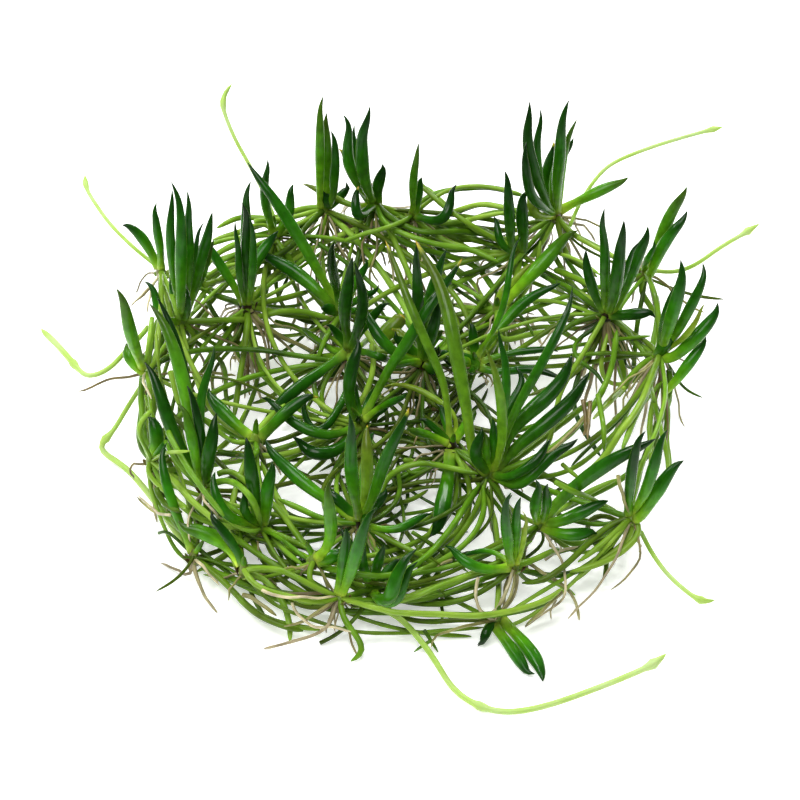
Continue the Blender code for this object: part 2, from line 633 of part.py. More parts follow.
def filled_heights(course, start, end):
    """Heights along a course: those that its points give, and a straight rise between them."""
    picture = np.array([point[:2] for point in course], float)
    along = np.concatenate([[0.0], np.cumsum(np.linalg.norm(np.diff(picture, axis=0), axis=1))])
    known = [(0.0, start)]
    known += [(along[i], point[2]) for i, point in enumerate(course) if len(point) == 3]
    known.append((along[-1], end))
    places, values = zip(*known)
    return picture, along / along[-1], np.interp(along, places, values)


def smooth_course(points, step):
    """A curve through the points (Catmull and Rom's), read at equal steps along its length."""
    ends = np.vstack([2 * points[0] - points[1], points, 2 * points[-1] - points[-2]])
    t = np.linspace(0, 1, 9)[:-1][:, None]
    stretches = []
    for a, b, c, d in zip(ends, ends[1:], ends[2:], ends[3:]):
        stretches.append(
            0.5 * (2 * b + (c - a) * t + (2 * a - 5 * b + 4 * c - d) * t**2 + (3 * b - a - 3 * c + d) * t**3)
        )
    curve = np.vstack(stretches + [points[-1:]])
    along = np.concatenate([[0.0], np.cumsum(np.linalg.norm(np.diff(curve, axis=0), axis=1))])
    count = max(5, int(round(along[-1] / step)) + 1)
    at = np.linspace(0, along[-1], count)
    return np.stack([np.interp(at, along, curve[:, k]) for k in range(3)], axis=1)


def leaf_width(s):
    """Share of a leaf's greatest width at a share s of its length: narrow base, full middle, fine tip."""
    swell = LEAF_BASE + (1 - LEAF_BASE) * np.sin(np.clip(s / 0.45, 0, 1) * math.pi / 2)
    return swell * np.sqrt(np.clip(1 - np.clip((s - 0.3) / 0.7, 0, 1) ** 2.2, 0.004, 1))


def stem_width(s):
    """A stem keeps its width and rounds off over its last few hundredths."""
    return np.sqrt(np.clip(1 - np.clip((np.abs(2 * s - 1) - 0.94) / 0.06, 0, 1) ** 2, 0.2, 1))


def root_width(s):
    """A root narrows slowly to a blunt end."""
    return (1 - 0.35 * s) * np.sqrt(np.clip(1 - np.clip((s - 0.93) / 0.07, 0, 1) ** 2, 0.2, 1))


WIDTHS = {"leaf": leaf_width, "stolon": stem_width, "runner": stem_width, "root": root_width}


class Strand:
    """One leaf, stem or root: its plant, kind, centreline and half widths, and whether a crown bears it."""

    def __init__(self, plant, kind, points, width, from_crown=True):
        self.plant = plant
        self.kind = kind
        self.from_crown = from_crown
        self.points = points
        share = np.linspace(0, 1, len(points))
        self.radius = 0.5 * width * WIDTHS[kind](share)


def crown_place(crown):
    return placed([crown[:2]], [crown[2]])[0]


def leaf_strands(name, plant):
    """Leaves leave the crown steeply and level off towards their tips.

    A course whose first point has a height starts there, on a stem, and not at the crown.
    """
    crown = plant["crown"]
    for tip_height, width, course in plant["leaves"]:
        base = course[0] if len(course[0]) == 3 else crown
        rest = [point[:2] for point in course if len(point) == 2]
        picture, share, _ = filled_heights([base[:2]] + rest, 0, 1)
        rise = share + 0.1 * np.sin(math.pi * share)
        points = placed(picture, base[2] + (tip_height - base[2]) * rise)
        yield Strand(name, "leaf", smooth_course(points, STRAND_STEP), width, base is crown)


def stem_strands(name, plant):
    crown = plant["crown"]
    for end, course in plant["stolons"]:
        picture, _, heights = filled_heights([crown[:2]] + course, crown[2], end)
        yield Strand(name, "stolon", smooth_course(placed(picture, heights), STRAND_STEP), STOLON_WIDTH)
    for end, width, course in plant.get("roots", []):
        picture, _, heights = filled_heights([crown[:2]] + course, crown[2], end)
        yield Strand(name, "root", smooth_course(placed(picture, heights), STRAND_STEP), width)


def hanging_roots(name, plant, first):
    """Roots that leave the under side of a crown, spread by the golden angle and end on the ground."""
    crown = crown_place(plant["crown"])
    for i in range(plant["hanging"]):
        turn = (first + i) * math.radians(137.5)
        reach = crown[2] * (0.25 + 0.3 * ((first + i) % 3) / 2)
        away = np.array([math.cos(turn), math.sin(turn), 0.0])
        foot = crown + away * reach
        foot[2] = 0.5 * ROOT_WIDTH
        middle = 0.5 * (crown + foot) + away * 0.25 * reach
        middle[2] = crown[2] * 0.45
        near = crown + away * 0.6
        points = smooth_course(np.array([crown, near - [0, 0, 1.0], middle, foot]), STRAND_STEP)
        yield Strand(name, "root", points, ROOT_WIDTH)


def long_stem(name, kind, spec, width):
    start, end, course = spec
    picture, _, heights = filled_heights(course, start, end)
    return Strand(name, kind, smooth_course(placed(picture, heights), STRAND_STEP), width, False)


def all_strands():
    strands = []
    for first, (name, plant) in enumerate(ROSETTES.items()):
        strands += leaf_strands(name, plant)
        strands += stem_strands(name, plant)
        strands += hanging_roots(name, plant, 3 * first)
    for name, spec in STOLONS.items():
        strands.append(long_stem(name, "stolon", spec, STOLON_WIDTH))
    for name, spec in RUNNERS.items():
        strands.append(long_stem(name, "runner", spec, RUNNER_WIDTH))
    return strands


def near_pairs(flat, reach):
    """Pairs of points nearer in the picture than the sum of their reaches, as two index arrays."""
    first, second = [], []
    for start in range(0, len(flat), 400):
        block = flat[start : start + 400]
        apart = np.linalg.norm(block[:, None] - flat[None], axis=2)
        i, j = np.nonzero(apart < reach[start : start + 400, None] + reach[None])
        keep = i + start < j
        first.append(i[keep] + start)
        second.append(j[keep])
    return np.concatenate(first), np.concatenate(second)


def nearest(points, homes):
    """How far each point is from the nearest of a plant's crown and the joints of its stem leaves."""
    return np.min([np.linalg.norm(points - home, axis=1) for home in homes], axis=0)


def slide_apart(strands, rounds=260):
    """Slides points along their lines of sight until strands clear each other and the ground.

    Two strands keep the order in which they pass, from the mean of their depths where they meet.
    A strand's slides are smoothed along it, and are held back near its own crown.
    """
    across, up, forward, eye = linked_axes()
    crowns = list(ROSETTES)
    points = np.concatenate([s.points for s in strands] + [[crown_place(p["crown"])] for p in ROSETTES.values()])
    radius = np.concatenate([s.radius for s in strands] + [np.full(len(crowns), CROWN_RADIUS)])
    owner = np.concatenate([np.full(len(s.points), k) for k, s in enumerate(strands)]
                           + [np.arange(len(crowns)) + len(strands)])
    plant_of = [s.plant for s in strands] + crowns
    names = sorted(set(plant_of))
    plant = np.array([names.index(p) for p in plant_of])[owner]
    home = {name: [crown_place(ROSETTES[name]["crown"])] for name in crowns}
    for strand in strands:
        if strand.plant in home and not strand.from_crown:
            home[strand.plant].append(strand.points[0])
    from_crown = np.concatenate(
        [nearest(s.points, home.get(s.plant, [np.full(3, 1e3)])) for s in strands] + [np.zeros(len(crowns))]
    )
    from_start = np.concatenate([STRAND_STEP * np.arange(len(s.points)) for s in strands] + [np.zeros(len(crowns))])
    hold = np.clip((from_crown - 1.2) / 4.0, 0, 1)
    hold = hold * hold * (3 - 2 * hold)

    lines = points - eye
    depth = np.linalg.norm(lines, axis=1)
    lines /= depth[:, None]
    flat = np.stack([lines @ across, lines @ up], axis=1) / (lines @ forward)[:, None] * VIEW_DISTANCE
    reach = radius + 0.5 * CLEARANCE
    i, j = near_pairs(flat, reach)
    same_plant = plant[i] == plant[j]
    near_home = np.maximum(from_crown[i], from_crown[j]) < 5.0
    near_start = np.minimum(from_start[i], from_start[j]) < 3.0
    apart_ok = (owner[i] != owner[j]) & ~(same_plant & (near_home | near_start | (radius[j] == CROWN_RADIUS)))
    i, j, same_plant = i[apart_ok], j[apart_ok], same_plant[apart_ok]
    beside = np.linalg.norm(flat[i] - flat[j], axis=1)
    wanted = reach[i] + reach[j] - np.where(same_plant, 0.5 * CLEARANCE, 0.0)
    need = np.sqrt(np.clip(wanted**2 - beside**2, 0, None))

    pair = owner[i] * (owner.max() + 1) + owner[j]
    _, group = np.unique(pair, return_inverse=True)
    group = group.reshape(-1)
    lean = np.bincount(group, weights=(depth[j] - depth[i]) * need)
    order = np.where(lean < 0, -1.0, 1.0)[group]
    weight_i = hold[i] / np.maximum(hold[i] + hold[j], 1e-6)
    weight_j = hold[j] / np.maximum(hold[i] + hold[j], 1e-6)

    starts = np.concatenate([[0], np.cumsum([len(s.points) for s in strands])])
    inside = np.ones(len(points), bool)
    inside[starts[1:] - 1] = False
    inside[starts[:-1]] = False
    inside[starts[-1] :] = False
    free = inside & (hold > 0)
    slide = np.zeros(len(points))
    deepest = (radius + 0.02 - eye[2]) / lines[:, 2] - depth
    for turn in range(rounds):
        short = np.clip(need - order * (depth[j] + slide[j] - depth[i] - slide[i]), 0, None)
        active = short > 0
        push = np.bincount(j, order * short * weight_j, len(points))
        push -= np.bincount(i, order * short * weight_i, len(points))
        count = np.bincount(j, active * weight_j, len(points)) + np.bincount(i, active * weight_i, len(points))
        slide += 1.0 * push / np.maximum(count, 1.0)
        if turn < rounds - 12 or turn % 3 == 0:
            for _ in range(2):
                middle = 0.25 * (np.roll(slide, 1) + np.roll(slide, -1)) + 0.5 * slide
                slide = np.where(free, middle, slide)
        slide = np.minimum(slide, deepest)
    moved = points + slide[:, None] * lines
    for k, strand in enumerate(strands):
        strand.points = moved[starts[k] : starts[k + 1]]
    return float(short.max())


def ring_places(strand):
    """Which points of a centreline carry a ring of the solid, from just inside the crown to the tip."""
    last = len(strand.points) - 1
    first = 1 if strand.from_crown else 0
    rings = max(3, int(round(STRAND_STEP * last / RING_STEP[strand.kind])) + 1)
    return np.unique(np.round(np.linspace(first, last, rings)).astype(int))


def tube(strand):
    """Vertices and faces of the tapered tube round a centreline, flattened and pointed on a leaf.

    Each ring stands square to the line. Its wide axis lies across the line of sight.
    """
    eye = linked_axes()[3]
    places = ring_places(strand)
    centre = strand.points[places]
    along = np.gradient(strand.points, axis=0)[places]
    along /= np.linalg.norm(along, axis=1, keepdims=True)
    sight = centre - eye
    wide = np.cross(along, sight)
    wide /= np.maximum(np.linalg.norm(wide, axis=1, keepdims=True), 1e-9)
    turned = np.cumprod(np.concatenate([[1.0], np.where((wide[1:] * wide[:-1]).sum(1) < 0, -1.0, 1.0)]))
    wide *= turned[:, None]
    thick = np.cross(wide, along)
    sides = SIDES[strand.kind]
    angle = np.linspace(0, 2 * math.pi, sides, endpoint=False)
    radius = strand.radius[places][:, None, None]
    flat = LEAF_THICKNESS if strand.kind == "leaf" else 1.0
    rings = centre[:, None] + radius * (
        np.cos(angle)[None, :, None] * wide[:, None] + flat * np.sin(angle)[None, :, None] * thick[:, None]
    )
    count = len(places)
    pointed = strand.kind == "leaf"
    if pointed:
        vertices = np.vstack([rings[:-1].reshape(-1, 3), centre[-1:]])
        count -= 1
    else:
        vertices = rings.reshape(-1, 3)
    faces = []
    for r in range(count - 1):
        for k in range(sides):
            n = (k + 1) % sides
            faces.append((r * sides + k, (r + 1) * sides + k, (r + 1) * sides + n, r * sides + n))
    faces.append(tuple(range(sides)))
    last = (count - 1) * sides
    if pointed:
        faces += [(last + k, len(vertices) - 1, last + (k + 1) % sides) for k in range(sides)]
    else:
        faces.append(tuple(last + k for k in reversed(range(sides))))
    return vertices, faces


def crown_bulb(place):
    """A six-sided bulb, flat under and drawn in at the top."""
    levels = ((-1.0, 0.55), (-0.2, 1.0), (0.7, 0.75), (1.25, 0.3))
    sides = 6
    angle = np.linspace(0, 2 * math.pi, sides, endpoint=False)
    vertices = np.array([
        place + [CROWN_RADIUS * w * math.cos(a), CROWN_RADIUS * w * math.sin(a), CROWN_HEIGHT * h]
        for h, w in levels for a in angle
    ])
    faces = [tuple(reversed(range(sides)))]
    for r in range(len(levels) - 1):
        for k in range(sides):
            n = (k + 1) % sides
            faces.append((r * sides + k, r * sides + n, (r + 1) * sides + n, (r + 1) * sides + k))
    faces.append(tuple((len(levels) - 1) * sides + k for k in range(sides)))
    return vertices, faces


def material(name, colour):
    made = bpy.data.materials.new(name)
    made.use_nodes = True
    shader = made.node_tree.nodes["Principled BSDF"]
    shader.inputs["Base Color"].default_value = (*colour, 1.0)
    shader.inputs["Roughness"].default_value = 0.35
    shader.inputs["Metallic"].default_value = 0.0
    return made


def mesh_object(name, pieces, colour, helper=False):
    """One object from closed shells, in metres, about the middle of the mat."""
    vertices, faces = [], []
    for points, polygons in pieces:
        base = len(vertices)
        vertices += [tuple((np.asarray(p) - MAT_MIDDLE) * MM) for p in points]
        faces += [tuple(base + k for k in face) for face in polygons]
    mesh = bpy.data.meshes.new(name)
    mesh.from_pydata(vertices, [], faces)
    mesh.update()
    made = bpy.data.objects.new(name, mesh)
    bpy.context.scene.collection.objects.link(made)
    if helper:
        made.hide_render = True
        made.display_type = "WIRE"
    else:
        made.data.materials.append(material(name, colour))
    return made


def fused(made, helper):
    """Grows the helper's shell into the object, as one skin.

    The exact solver drops leaves where many thin strands cross in one crown, so this is the manifold one.
    """
    join = made.modifiers.new("Grown together", "BOOLEAN")
    join.operation = "UNION"
    join.solver = "MANIFOLD"
    join.object = helper


def main():
    for old in list(bpy.data.objects):
        bpy.data.objects.remove(old)
    strands = all_strands()
    left = slide_apart(strands)
    print("largest overlap left", round(left, 3))
    for name, plant in ROSETTES.items():
        crown = mesh_object(name, [crown_bulb(crown_place(plant["crown"]))], COLOURS["rosette"])
        for k, strand in enumerate(s for s in strands if s.plant == name):
            fused(crown, mesh_object(f"{name}_{strand.kind}_{k}", [tube(strand)], None, helper=True))
    for strand in strands:
        if strand.plant in STOLONS or strand.plant in RUNNERS:
            mesh_object(strand.plant, [tube(strand)], COLOURS[strand.kind])


main()
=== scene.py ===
"""Looks of the shoreweed mat: fleshy leaves, crowns with old leaf bases, stolons, runners and roots.

Each node of the frame is one rosette or one long stem, and one piece here stands for it. The courses
are the construction's own: rows of points across and down a view of the mat, with heights above the
ground, slid apart along their lines of sight. Courses are in millimetres about the drawing's own
origin; meshes are in metres about the middle of the mat.
"""

import math

import bpy
import numpy as np
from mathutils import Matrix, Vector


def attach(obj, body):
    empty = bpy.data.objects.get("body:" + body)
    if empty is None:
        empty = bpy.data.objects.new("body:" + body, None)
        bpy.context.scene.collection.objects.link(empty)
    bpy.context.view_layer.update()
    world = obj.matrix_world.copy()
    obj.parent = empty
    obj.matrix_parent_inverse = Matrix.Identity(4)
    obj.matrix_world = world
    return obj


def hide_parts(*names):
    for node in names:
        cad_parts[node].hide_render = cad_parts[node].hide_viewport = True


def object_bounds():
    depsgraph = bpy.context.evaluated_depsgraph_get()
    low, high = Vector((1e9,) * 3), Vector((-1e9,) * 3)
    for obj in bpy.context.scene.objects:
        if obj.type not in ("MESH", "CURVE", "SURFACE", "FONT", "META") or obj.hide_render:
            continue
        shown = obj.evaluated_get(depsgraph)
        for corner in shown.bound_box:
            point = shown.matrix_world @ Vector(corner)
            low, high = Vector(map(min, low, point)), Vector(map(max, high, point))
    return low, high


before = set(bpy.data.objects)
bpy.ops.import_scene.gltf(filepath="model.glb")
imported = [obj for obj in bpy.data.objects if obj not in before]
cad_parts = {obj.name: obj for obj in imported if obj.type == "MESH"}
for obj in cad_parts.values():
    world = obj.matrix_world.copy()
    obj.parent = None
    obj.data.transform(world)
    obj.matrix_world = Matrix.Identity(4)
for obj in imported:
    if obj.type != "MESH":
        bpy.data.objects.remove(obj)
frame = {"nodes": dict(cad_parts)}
cad_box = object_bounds()

# Driving dimensions, in millimetres
CLEARANCE = 0.45
CROWN_RADIUS = 1.55
CROWN_HEIGHT = 1.25
STOLON_WIDTH = 1.15
RUNNER_WIDTH = 1.0
ROOT_WIDTH = 0.7
FINE_ROOT_WIDTH = 0.42
LEAF_THICKNESS = 0.66
LEAF_BASE = 0.72
STRAND_STEP = 0.8
NODE_SPACING = 8.5
LEAF_FULLNESS = 1.08
LEAF_FOOT = 0.6
CROWN_DRAWN = 0.72
DRAWN_STEM = 0.72
DRAWN_ROOT = 0.75

# Stems woven between the crowns: the middle of the ring and its outside, how far apart two crowns may be,
# how many leave a crown of the ring and one inside it, and their least and greatest width
RING_MIDDLE = np.array([-1.2, 1.0])
RING_OUTSIDE = 35.8
WALL_TOP = 20.0
WEAVE_REACH = 34.0
WEAVE_RING = 5
WEAVE_INNER = 4
WEAVE_WIDTH = (0.5, 0.85)
SIDES = {"leaf": 12, "stolon": 10, "root": 7, "runner": 10, "scale": 8, "shoot": 8}

# The view the mat is drawn in: 42 degrees above the ground, 7.1 picture points to a millimetre
VIEW_RISE = math.radians(42)
VIEW_DISTANCE = 500.0
POINTS_PER_MM = 7.1
VIEW_MIDDLE = (400.0, 400.0)
VIEW_AIM = np.array([-1.4, 14.5, 0.0])
MAT_MIDDLE = np.array([-1.18, 0.22, 0.32])
PICTURE_SIZE = 800
SENSOR = 36.0

# How strands are slid apart, in millimetres: how near its own crown a strand is held fast and over what
# length it comes free, how near a crown or a strand's start two strands may touch, and how far the ground
# is kept below all of them
HELD_FAST = 1.2
COMES_FREE = 4.0
TOUCH_AT_CROWN = 5.0
TOUCH_AT_START = 3.0
GROUND_GAP = 0.02
SLIDE_ROUNDS = 260
LAST_ROUNDS = 12
NO_CROWN = np.full(3, 1000.0)

# How near a crown in the picture the end of a thin stem has to come to be led into it, and over what
# length of the stem, and how far inside the solids' box the middle of a hair root stays, in millimetres
CROWN_CATCH = 3.4
CATCH_LENGTH = 7.0
BOX_MARGIN = 0.3

MM = 0.001

# Rosettes. Crown: across, down and height. Leaf: height of its tip, greatest width, its look (bright,
# middle, dark, tan tip, olive, yellow, pale), then its course from base to tip. Stolon: height of its
# end, then its course away from the crown, where a third number is a height. Root: height of its end,
# width and course. Hanging: how many thick roots hang down.
ROSETTES = {
    "rosette_back_left": {
        "crown": (325, 208, 17.0),
        "leaves": [
            (36, 1.3, "b", [(320, 203), (320, 170), (320, 140), (320, 96)]),
            (33, 1.4, "b", [(326, 200), (326, 175), (327, 150), (325, 113)]),
            (31, 1.3, "m", [(333, 198), (334, 180), (336, 155), (334, 142), (335, 131)]),
            (21, 1.3, "d", [(330, 206), (327, 197), (321, 190)]),
            (20, 1.2, "d", [(334, 204), (341, 196), (350, 185)]),
        ],
        "stolons": [
            (16, [(300, 212), (280, 222, 16), (262, 224), (240, 232), (213, 240)]),
            (14, [(306, 226), (291, 247), (264, 261), (238, 268)]),
            (17, [(303, 208), (290, 213), (270, 219), (240, 217), (217, 228)]),
        ],
        "hanging": 2,
    },
    "rosette_back_middle": {
        "crown": (375, 203, 17.5),
        "leaves": [
            (35, 1.5, "m", [(372, 200), (358, 184), (348, 160), (348, 140), (350, 121), (347, 114)]),
            (33, 0.9, "m", [(369, 196), (359, 172), (356, 150), (352, 125)]),
            (37, 1.7, "m", [(372, 200), (364, 178), (362, 155), (362, 135), (367, 121), (374, 109)]),
            (27, 1.6, "t", [(370, 202), (361, 187), (352, 172), (345, 160), (344, 148)]),
            (25, 1.6, "d", [(378, 200), (377, 187), (381, 176), (385, 165)]),
            (23, 1.5, "t", [(368, 210), (357, 218), (355, 203), (357, 186)]),
            (20, 1.0, "o", [(362, 208), (350, 205), (335, 198), (318, 190), (303, 183)]),
        ],
        "stolons": [
            (15, [(390, 217), (421, 232), (462, 231), (503, 238)]),
            (14, [(388, 226), (431, 243), (472, 250), (498, 262)]),
        ],
        "hanging": 3,
    },
    "rosette_back_small": {
        "crown": (413, 215, 16.0),
        "leaves": [
            (31, 1.1, "b", [(413, 211), (413, 190), (414, 172), (417, 158), (418, 143)]),
            (24, 1.3, "m", [(416, 213), (417, 200), (419, 189), (421, 177)]),
            (22, 1.4, "d", [(433, 221), (446, 219), (449, 207), (452, 196), (452, 184)]),
        ],
        "stolons": [
            (17, [(421, 202), (440, 192), (480, 187, 18), (504, 190), (522, 196)]),
        ],
        "hanging": 1,
    },
    "rosette_back_dark": {
        "crown": (518, 251, 14.0),
        "leaves": [
            (29, 1.5, "d", [(512, 246), (510, 228), (509, 208), (508, 190), (507, 171)]),
            (26, 1.7, "d", [(524, 247), (523, 232), (522, 217), (522, 204), (523, 190)]),
            (19, 1.1, "d", [(506, 250), (500, 243), (497, 229), (496, 216)]),
        ],
        "stolons": [
            (10, [(506, 256), (492, 264), (477, 271), (458, 275)]),
            (15, [(500, 240), (477, 231), (451, 210, 17), (424, 186)]),
        ],
        "hanging": 1,
    },
    "rosette_back_right": {
        "crown": (556, 215, 17.5),
        "leaves": [
            (38, 1.6, "d", [(551, 212), (544, 196), (535, 174), (529, 152), (527, 135), (529, 117),
                          (534, 103)]),
            (36, 1.2, "m", [(548, 204), (540, 182), (537, 158), (537, 138), (541, 123), (544, 110)]),
            (34, 1.4, "d", [(544, 208), (531, 195), (526, 170), (524, 142)]),
            (39, 1.6, "m", [(557, 206), (557, 182), (560, 155), (561, 130), (564, 113), (567, 100)]),
            (36, 1.0, "b", [(560, 202), (562, 172), (566, 145), (571, 130), (578, 119)]),
            (31, 1.5, "m", [(554, 209), (553, 190), (556, 172), (562, 155), (568, 147), (576, 141)]),
            (29, 1.7, "t", [(550, 208), (546, 188), (548, 168), (552, 155), (556, 143)]),
            (22, 1.5, "b", [(563, 208), (577, 202), (593, 194), (608, 187), (619, 183), (629, 179)]),
            (25, 1.3, "p", [(543, 217), (532, 213), (531, 197), (532, 181)]),
        ],
        "stolons": [
            (15, [(571, 233), (599, 248), (622, 262)]),
            (13, [(540, 226), (513, 240), (497, 252)]),
            (12, [(548, 232), (536, 252), (524, 265)]),
            (14, [(567, 256, 15), (585, 267), (597, 277)]),
        ],
        "hanging": 3,
    },
    "rosette_back_inner": {
        "crown": (497, 309, 9.0),
        "leaves": [
            (18, 1.9, "b", [(505, 302), (518, 289), (530, 276), (544, 262), (560, 243), (575, 228)]),
            (15, 1.0, "p", [(499, 300), (509, 288), (521, 273), (534, 261)]),
            (14, 0.9, "p", [(497, 300), (503, 291), (507, 282)]),
        ],
        "stolons": [
            (8, [(485, 309), (470, 308), (455, 306)]),
            (5, [(486, 318), (472, 330), (460, 340)]),
            (8, [(500, 340), (530, 334), (555, 331)]),
        ],
        "hanging": 2,
    },
    "rosette_right_back": {
        "crown": (646, 272, 16.0),
        "leaves": [
            (31, 1.7, "b", [(650, 268), (656, 250), (664, 230), (671, 213), (680, 199), (689, 189)]),
            (27, 1.6, "m", [(650, 276), (656, 260), (664, 244), (673, 231), (682, 222), (689, 212)]),
            (23, 0.9, "m", [(644, 266), (650, 255), (657, 242)]),
        ],
        "stolons": [
            (9, [(640, 290), (652, 308), (660, 325)]),
        ],
        "hanging": 1,
    },
    "rosette_right_inner": {
        "crown": (606, 313, 15.0),
        "leaves": [
            (36, 1.4, "m", [(605, 303), (605, 280), (605, 258), (604, 238), (601, 222), (606, 209)]),
            (35, 1.8, "d", [(611, 306), (616, 284), (619, 262), (621, 243), (626, 221)]),
            (31, 0.9, "m", [(614, 300), (625, 272), (631, 255), (636, 240)]),
            (31, 1.9, "m", [(614, 308), (623, 290), (632, 268), (641, 248), (652, 229)]),
            (17, 1.6, "d", [(616, 316), (628, 315), (642, 313), (655, 312)]),
            (26, 1.4, "d", [(598, 303), (592, 286), (587, 270), (585, 250)]),
        ],
        "stolons": [
            (13, [(590, 303), (573, 290), (556, 281)]),
            (12, [(590, 318), (572, 323), (560, 335)]),
            (7, [(622, 325), (634, 335), (643, 350)]),
            (4, [(612, 335), (618, 360), (624, 385)]),
        ],
        "roots": [
            (4, 1.0, [(600, 328), (592, 350), (582, 376)]),
            (3, 1.0, [(604, 332), (602, 352), (592, 376), (586, 405)]),
        ],
        "hanging": 3,
    },
    "rosette_right": {
        "crown": (660, 354, 15.0),
        "leaves": [
            (32, 1.8, "m", [(663, 346), (669, 325), (676, 302), (682, 280), (683, 260)]),
            (29, 1.2, "d", [(660, 345), (663, 325), (670, 302), (679, 279)]),
            (29, 1.4, "m", [(672, 340), (681, 325), (692, 304), (702, 284), (707, 264)]),
            (22, 1.8, "m", [(670, 360), (684, 349), (699, 334), (710, 322), (721, 305)]),
            (20, 1.8, "t", [(657, 356), (664, 345), (670, 337), (676, 325)]),
            (24, 0.8, "p", [(684, 338), (695, 323), (702, 312), (702, 303)]),
            (18, 1.5, "m", [(664, 393, 11.7), (673, 385), (684, 370), (696, 354), (708, 338)]),
        ],
        "stolons": [
            (6, [(642, 364), (621, 388), (597, 415)]),
            (5, [(664, 392), (668, 412), (666, 440), (671, 466)]),
        ],
        "roots": [
            (4, 0.9, [(655, 372), (654, 395), (652, 418)]),
            (3, 0.8, [(650, 372), (648, 396), (644, 420), (640, 445)]),
        ],
        "hanging": 2,
    },
    "rosette_right_front": {
        "crown": (632, 517, 9.5),
        "leaves": [
            (26, 1.5, "d", [(628, 508), (630, 488), (632, 468), (636, 449), (641, 430)]),
            (25, 1.5, "m", [(636, 509), (646, 490), (653, 469), (659, 448), (664, 429)]),
            (19, 1.7, "m", [(640, 519), (649, 504), (660, 487), (671, 470), (682, 459)]),
            (6, 0.9, "d", [(634, 522), (634, 529), (631, 537)]),
        ],
        "stolons": [
            (3, [(641, 528), (630, 545), (604, 562), (570, 572)]),
            (2, [(617, 533), (597, 560), (572, 583)]),
            (5, [(612, 524), (592, 540), (562, 568), (541, 581), (522, 583)]),
        ],
        "roots": [
            (1, 0.6, [(625, 536), (612, 561), (597, 585), (581, 605), (570, 618)]),
            (4, 0.5, [(636, 532), (640, 556), (629, 577), (612, 590)]),
        ],
        "hanging": 1,
    },
    "rosette_front_right_inner": {
        "crown": (540, 523, 9.0),
        "leaves": [
            (21, 1.4, "m", [(536, 518), (535, 505), (541, 481)]),
            (20, 1.3, "d", [(543, 519), (547, 504), (545, 484)]),
            (13, 1.7, "d", [(552, 524), (567, 519), (582, 512), (595, 506), (608, 500)]),
            (9, 1.7, "m", [(550, 531), (563, 535), (578, 535), (596, 530)]),
            (24, 1.9, "d", [(550, 511), (566, 495), (585, 479), (610, 462), (633, 450), (656, 440)]),
        ],
        "stolons": [],
        "roots": [
            (1, 0.6, [(552, 545), (566, 572), (565, 596), (546, 611), (524, 628)]),
        ],
        "hanging": 1,
    },
    "rosette_front_right": {
        "crown": (514, 566, 7.5),
        "leaves": [
            (24, 1.4, "m", [(510, 560), (508, 540), (505, 518), (507, 492)]),
            (23, 1.3, "m", [(516, 560), (516, 540), (516, 518), (519, 497)]),
            (20, 0.7, "p", [(520, 558), (524, 537), (528, 512)]),
            (11, 1.4, "m", [(506, 568), (490, 570), (474, 567), (462, 560), (454, 552), (449, 543)]),
            (9, 0.7, "m", [(506, 560), (495, 551), (480, 550), (462, 556)]),
        ],
        "stolons": [
            (4, [(534, 560), (548, 553, 9), (560, 549)]),
        ],
        "roots": [
            (2, 0.7, [(511, 577), (505, 597), (495, 612), (484, 615), (476, 604), (475, 586)]),
            (1, 0.65, [(518, 575), (514, 595), (501, 612), (485, 624)]),
            (1, 0.8, [(524, 560), (542, 571), (561, 583), (573, 597), (579, 621)]),
        ],
        "hanging": 1,
    },
    "rosette_front_bottom": {
        "crown": (496, 620, 2.6),
        "leaves": [
            (1.2, 1.8, "m", [(502, 620), (514, 632), (527, 647), (538, 662), (544, 681)]),
            (1.0, 1.6, "m", [(495, 626), (502, 636), (513, 650), (522, 664), (530, 677)]),
            (0.8, 0.9, "d", [(488, 625), (483, 636), (481, 647)]),
        ],
        "stolons": [],
        "hanging": 0,
    },
    "rosette_front": {
        "crown": (340, 597, 6.0),
        "leaves": [
            (24, 1.6, "m", [(344, 590), (350, 574), (356, 554), (363, 531), (372, 505)]),
            (19, 1.6, "m", [(339, 590), (342, 572), (345, 552), (348, 528)]),
        ],
        "stolons": [
            (0.9, [(343, 618), (356, 635), (364, 652), (351, 661)]),
        ],
        "roots": [
            (0.6, 0.8, [(335, 607), (332, 622), (317, 634), (291, 641), (264, 649)]),
            (0.6, 0.6, [(341, 609), (349, 630), (352, 647), (359, 657)]),
            (0.8, 0.6, [(331, 606), (311, 617), (284, 627)]),
            (5, 0.7, [(330, 592), (306, 594), (280, 594), (260, 590)]),
        ],
        "hanging": 0,
    },
    "rosette_front_left_inner": {
        "crown": (314, 560, 9.0),
        "leaves": [
            (25, 1.6, "b", [(320, 556), (329, 543), (331, 526), (329, 505), (326, 480)]),
            (11, 1.7, "m", [(318, 562), (330, 558), (345, 550)]),
        ],
        "stolons": [
            (6, [(309, 573), (310, 583)]),
        ],
        "hanging": 1,
    },
    "rosette_front_left": {
        "crown": (244, 570, 6.0),
        "leaves": [
            (10, 1.9, "b", [(240, 562), (233, 550), (218, 539), (199, 531), (177, 526)]),
            (13, 1.3, "d", [(241, 558), (230, 540), (220, 527), (208, 514)]),
        ],
        "stolons": [
            (0.9, [(262, 578), (277, 592), (286, 610), (290, 627), (290, 642)]),
        ],
        "hanging": 1,
    },
    "rosette_front_left_upper": {
        "crown": (261, 527, 7.0),
        "leaves": [
            (17, 1.7, "m", [(264, 520), (267, 505), (267, 488), (275, 462)]),
            (20, 1.8, "d", [(257, 518), (254, 491), (250, 465), (247, 437)]),
            (16, 1.4, "m", [(248, 523), (232, 519), (220, 507), (214, 490), (212, 472)]),
            (14, 1.2, "m", [(250, 519), (242, 510), (244, 500), (246, 491)]),
        ],
        "stolons": [
            (6, [(280, 520), (299, 525), (322, 527)]),
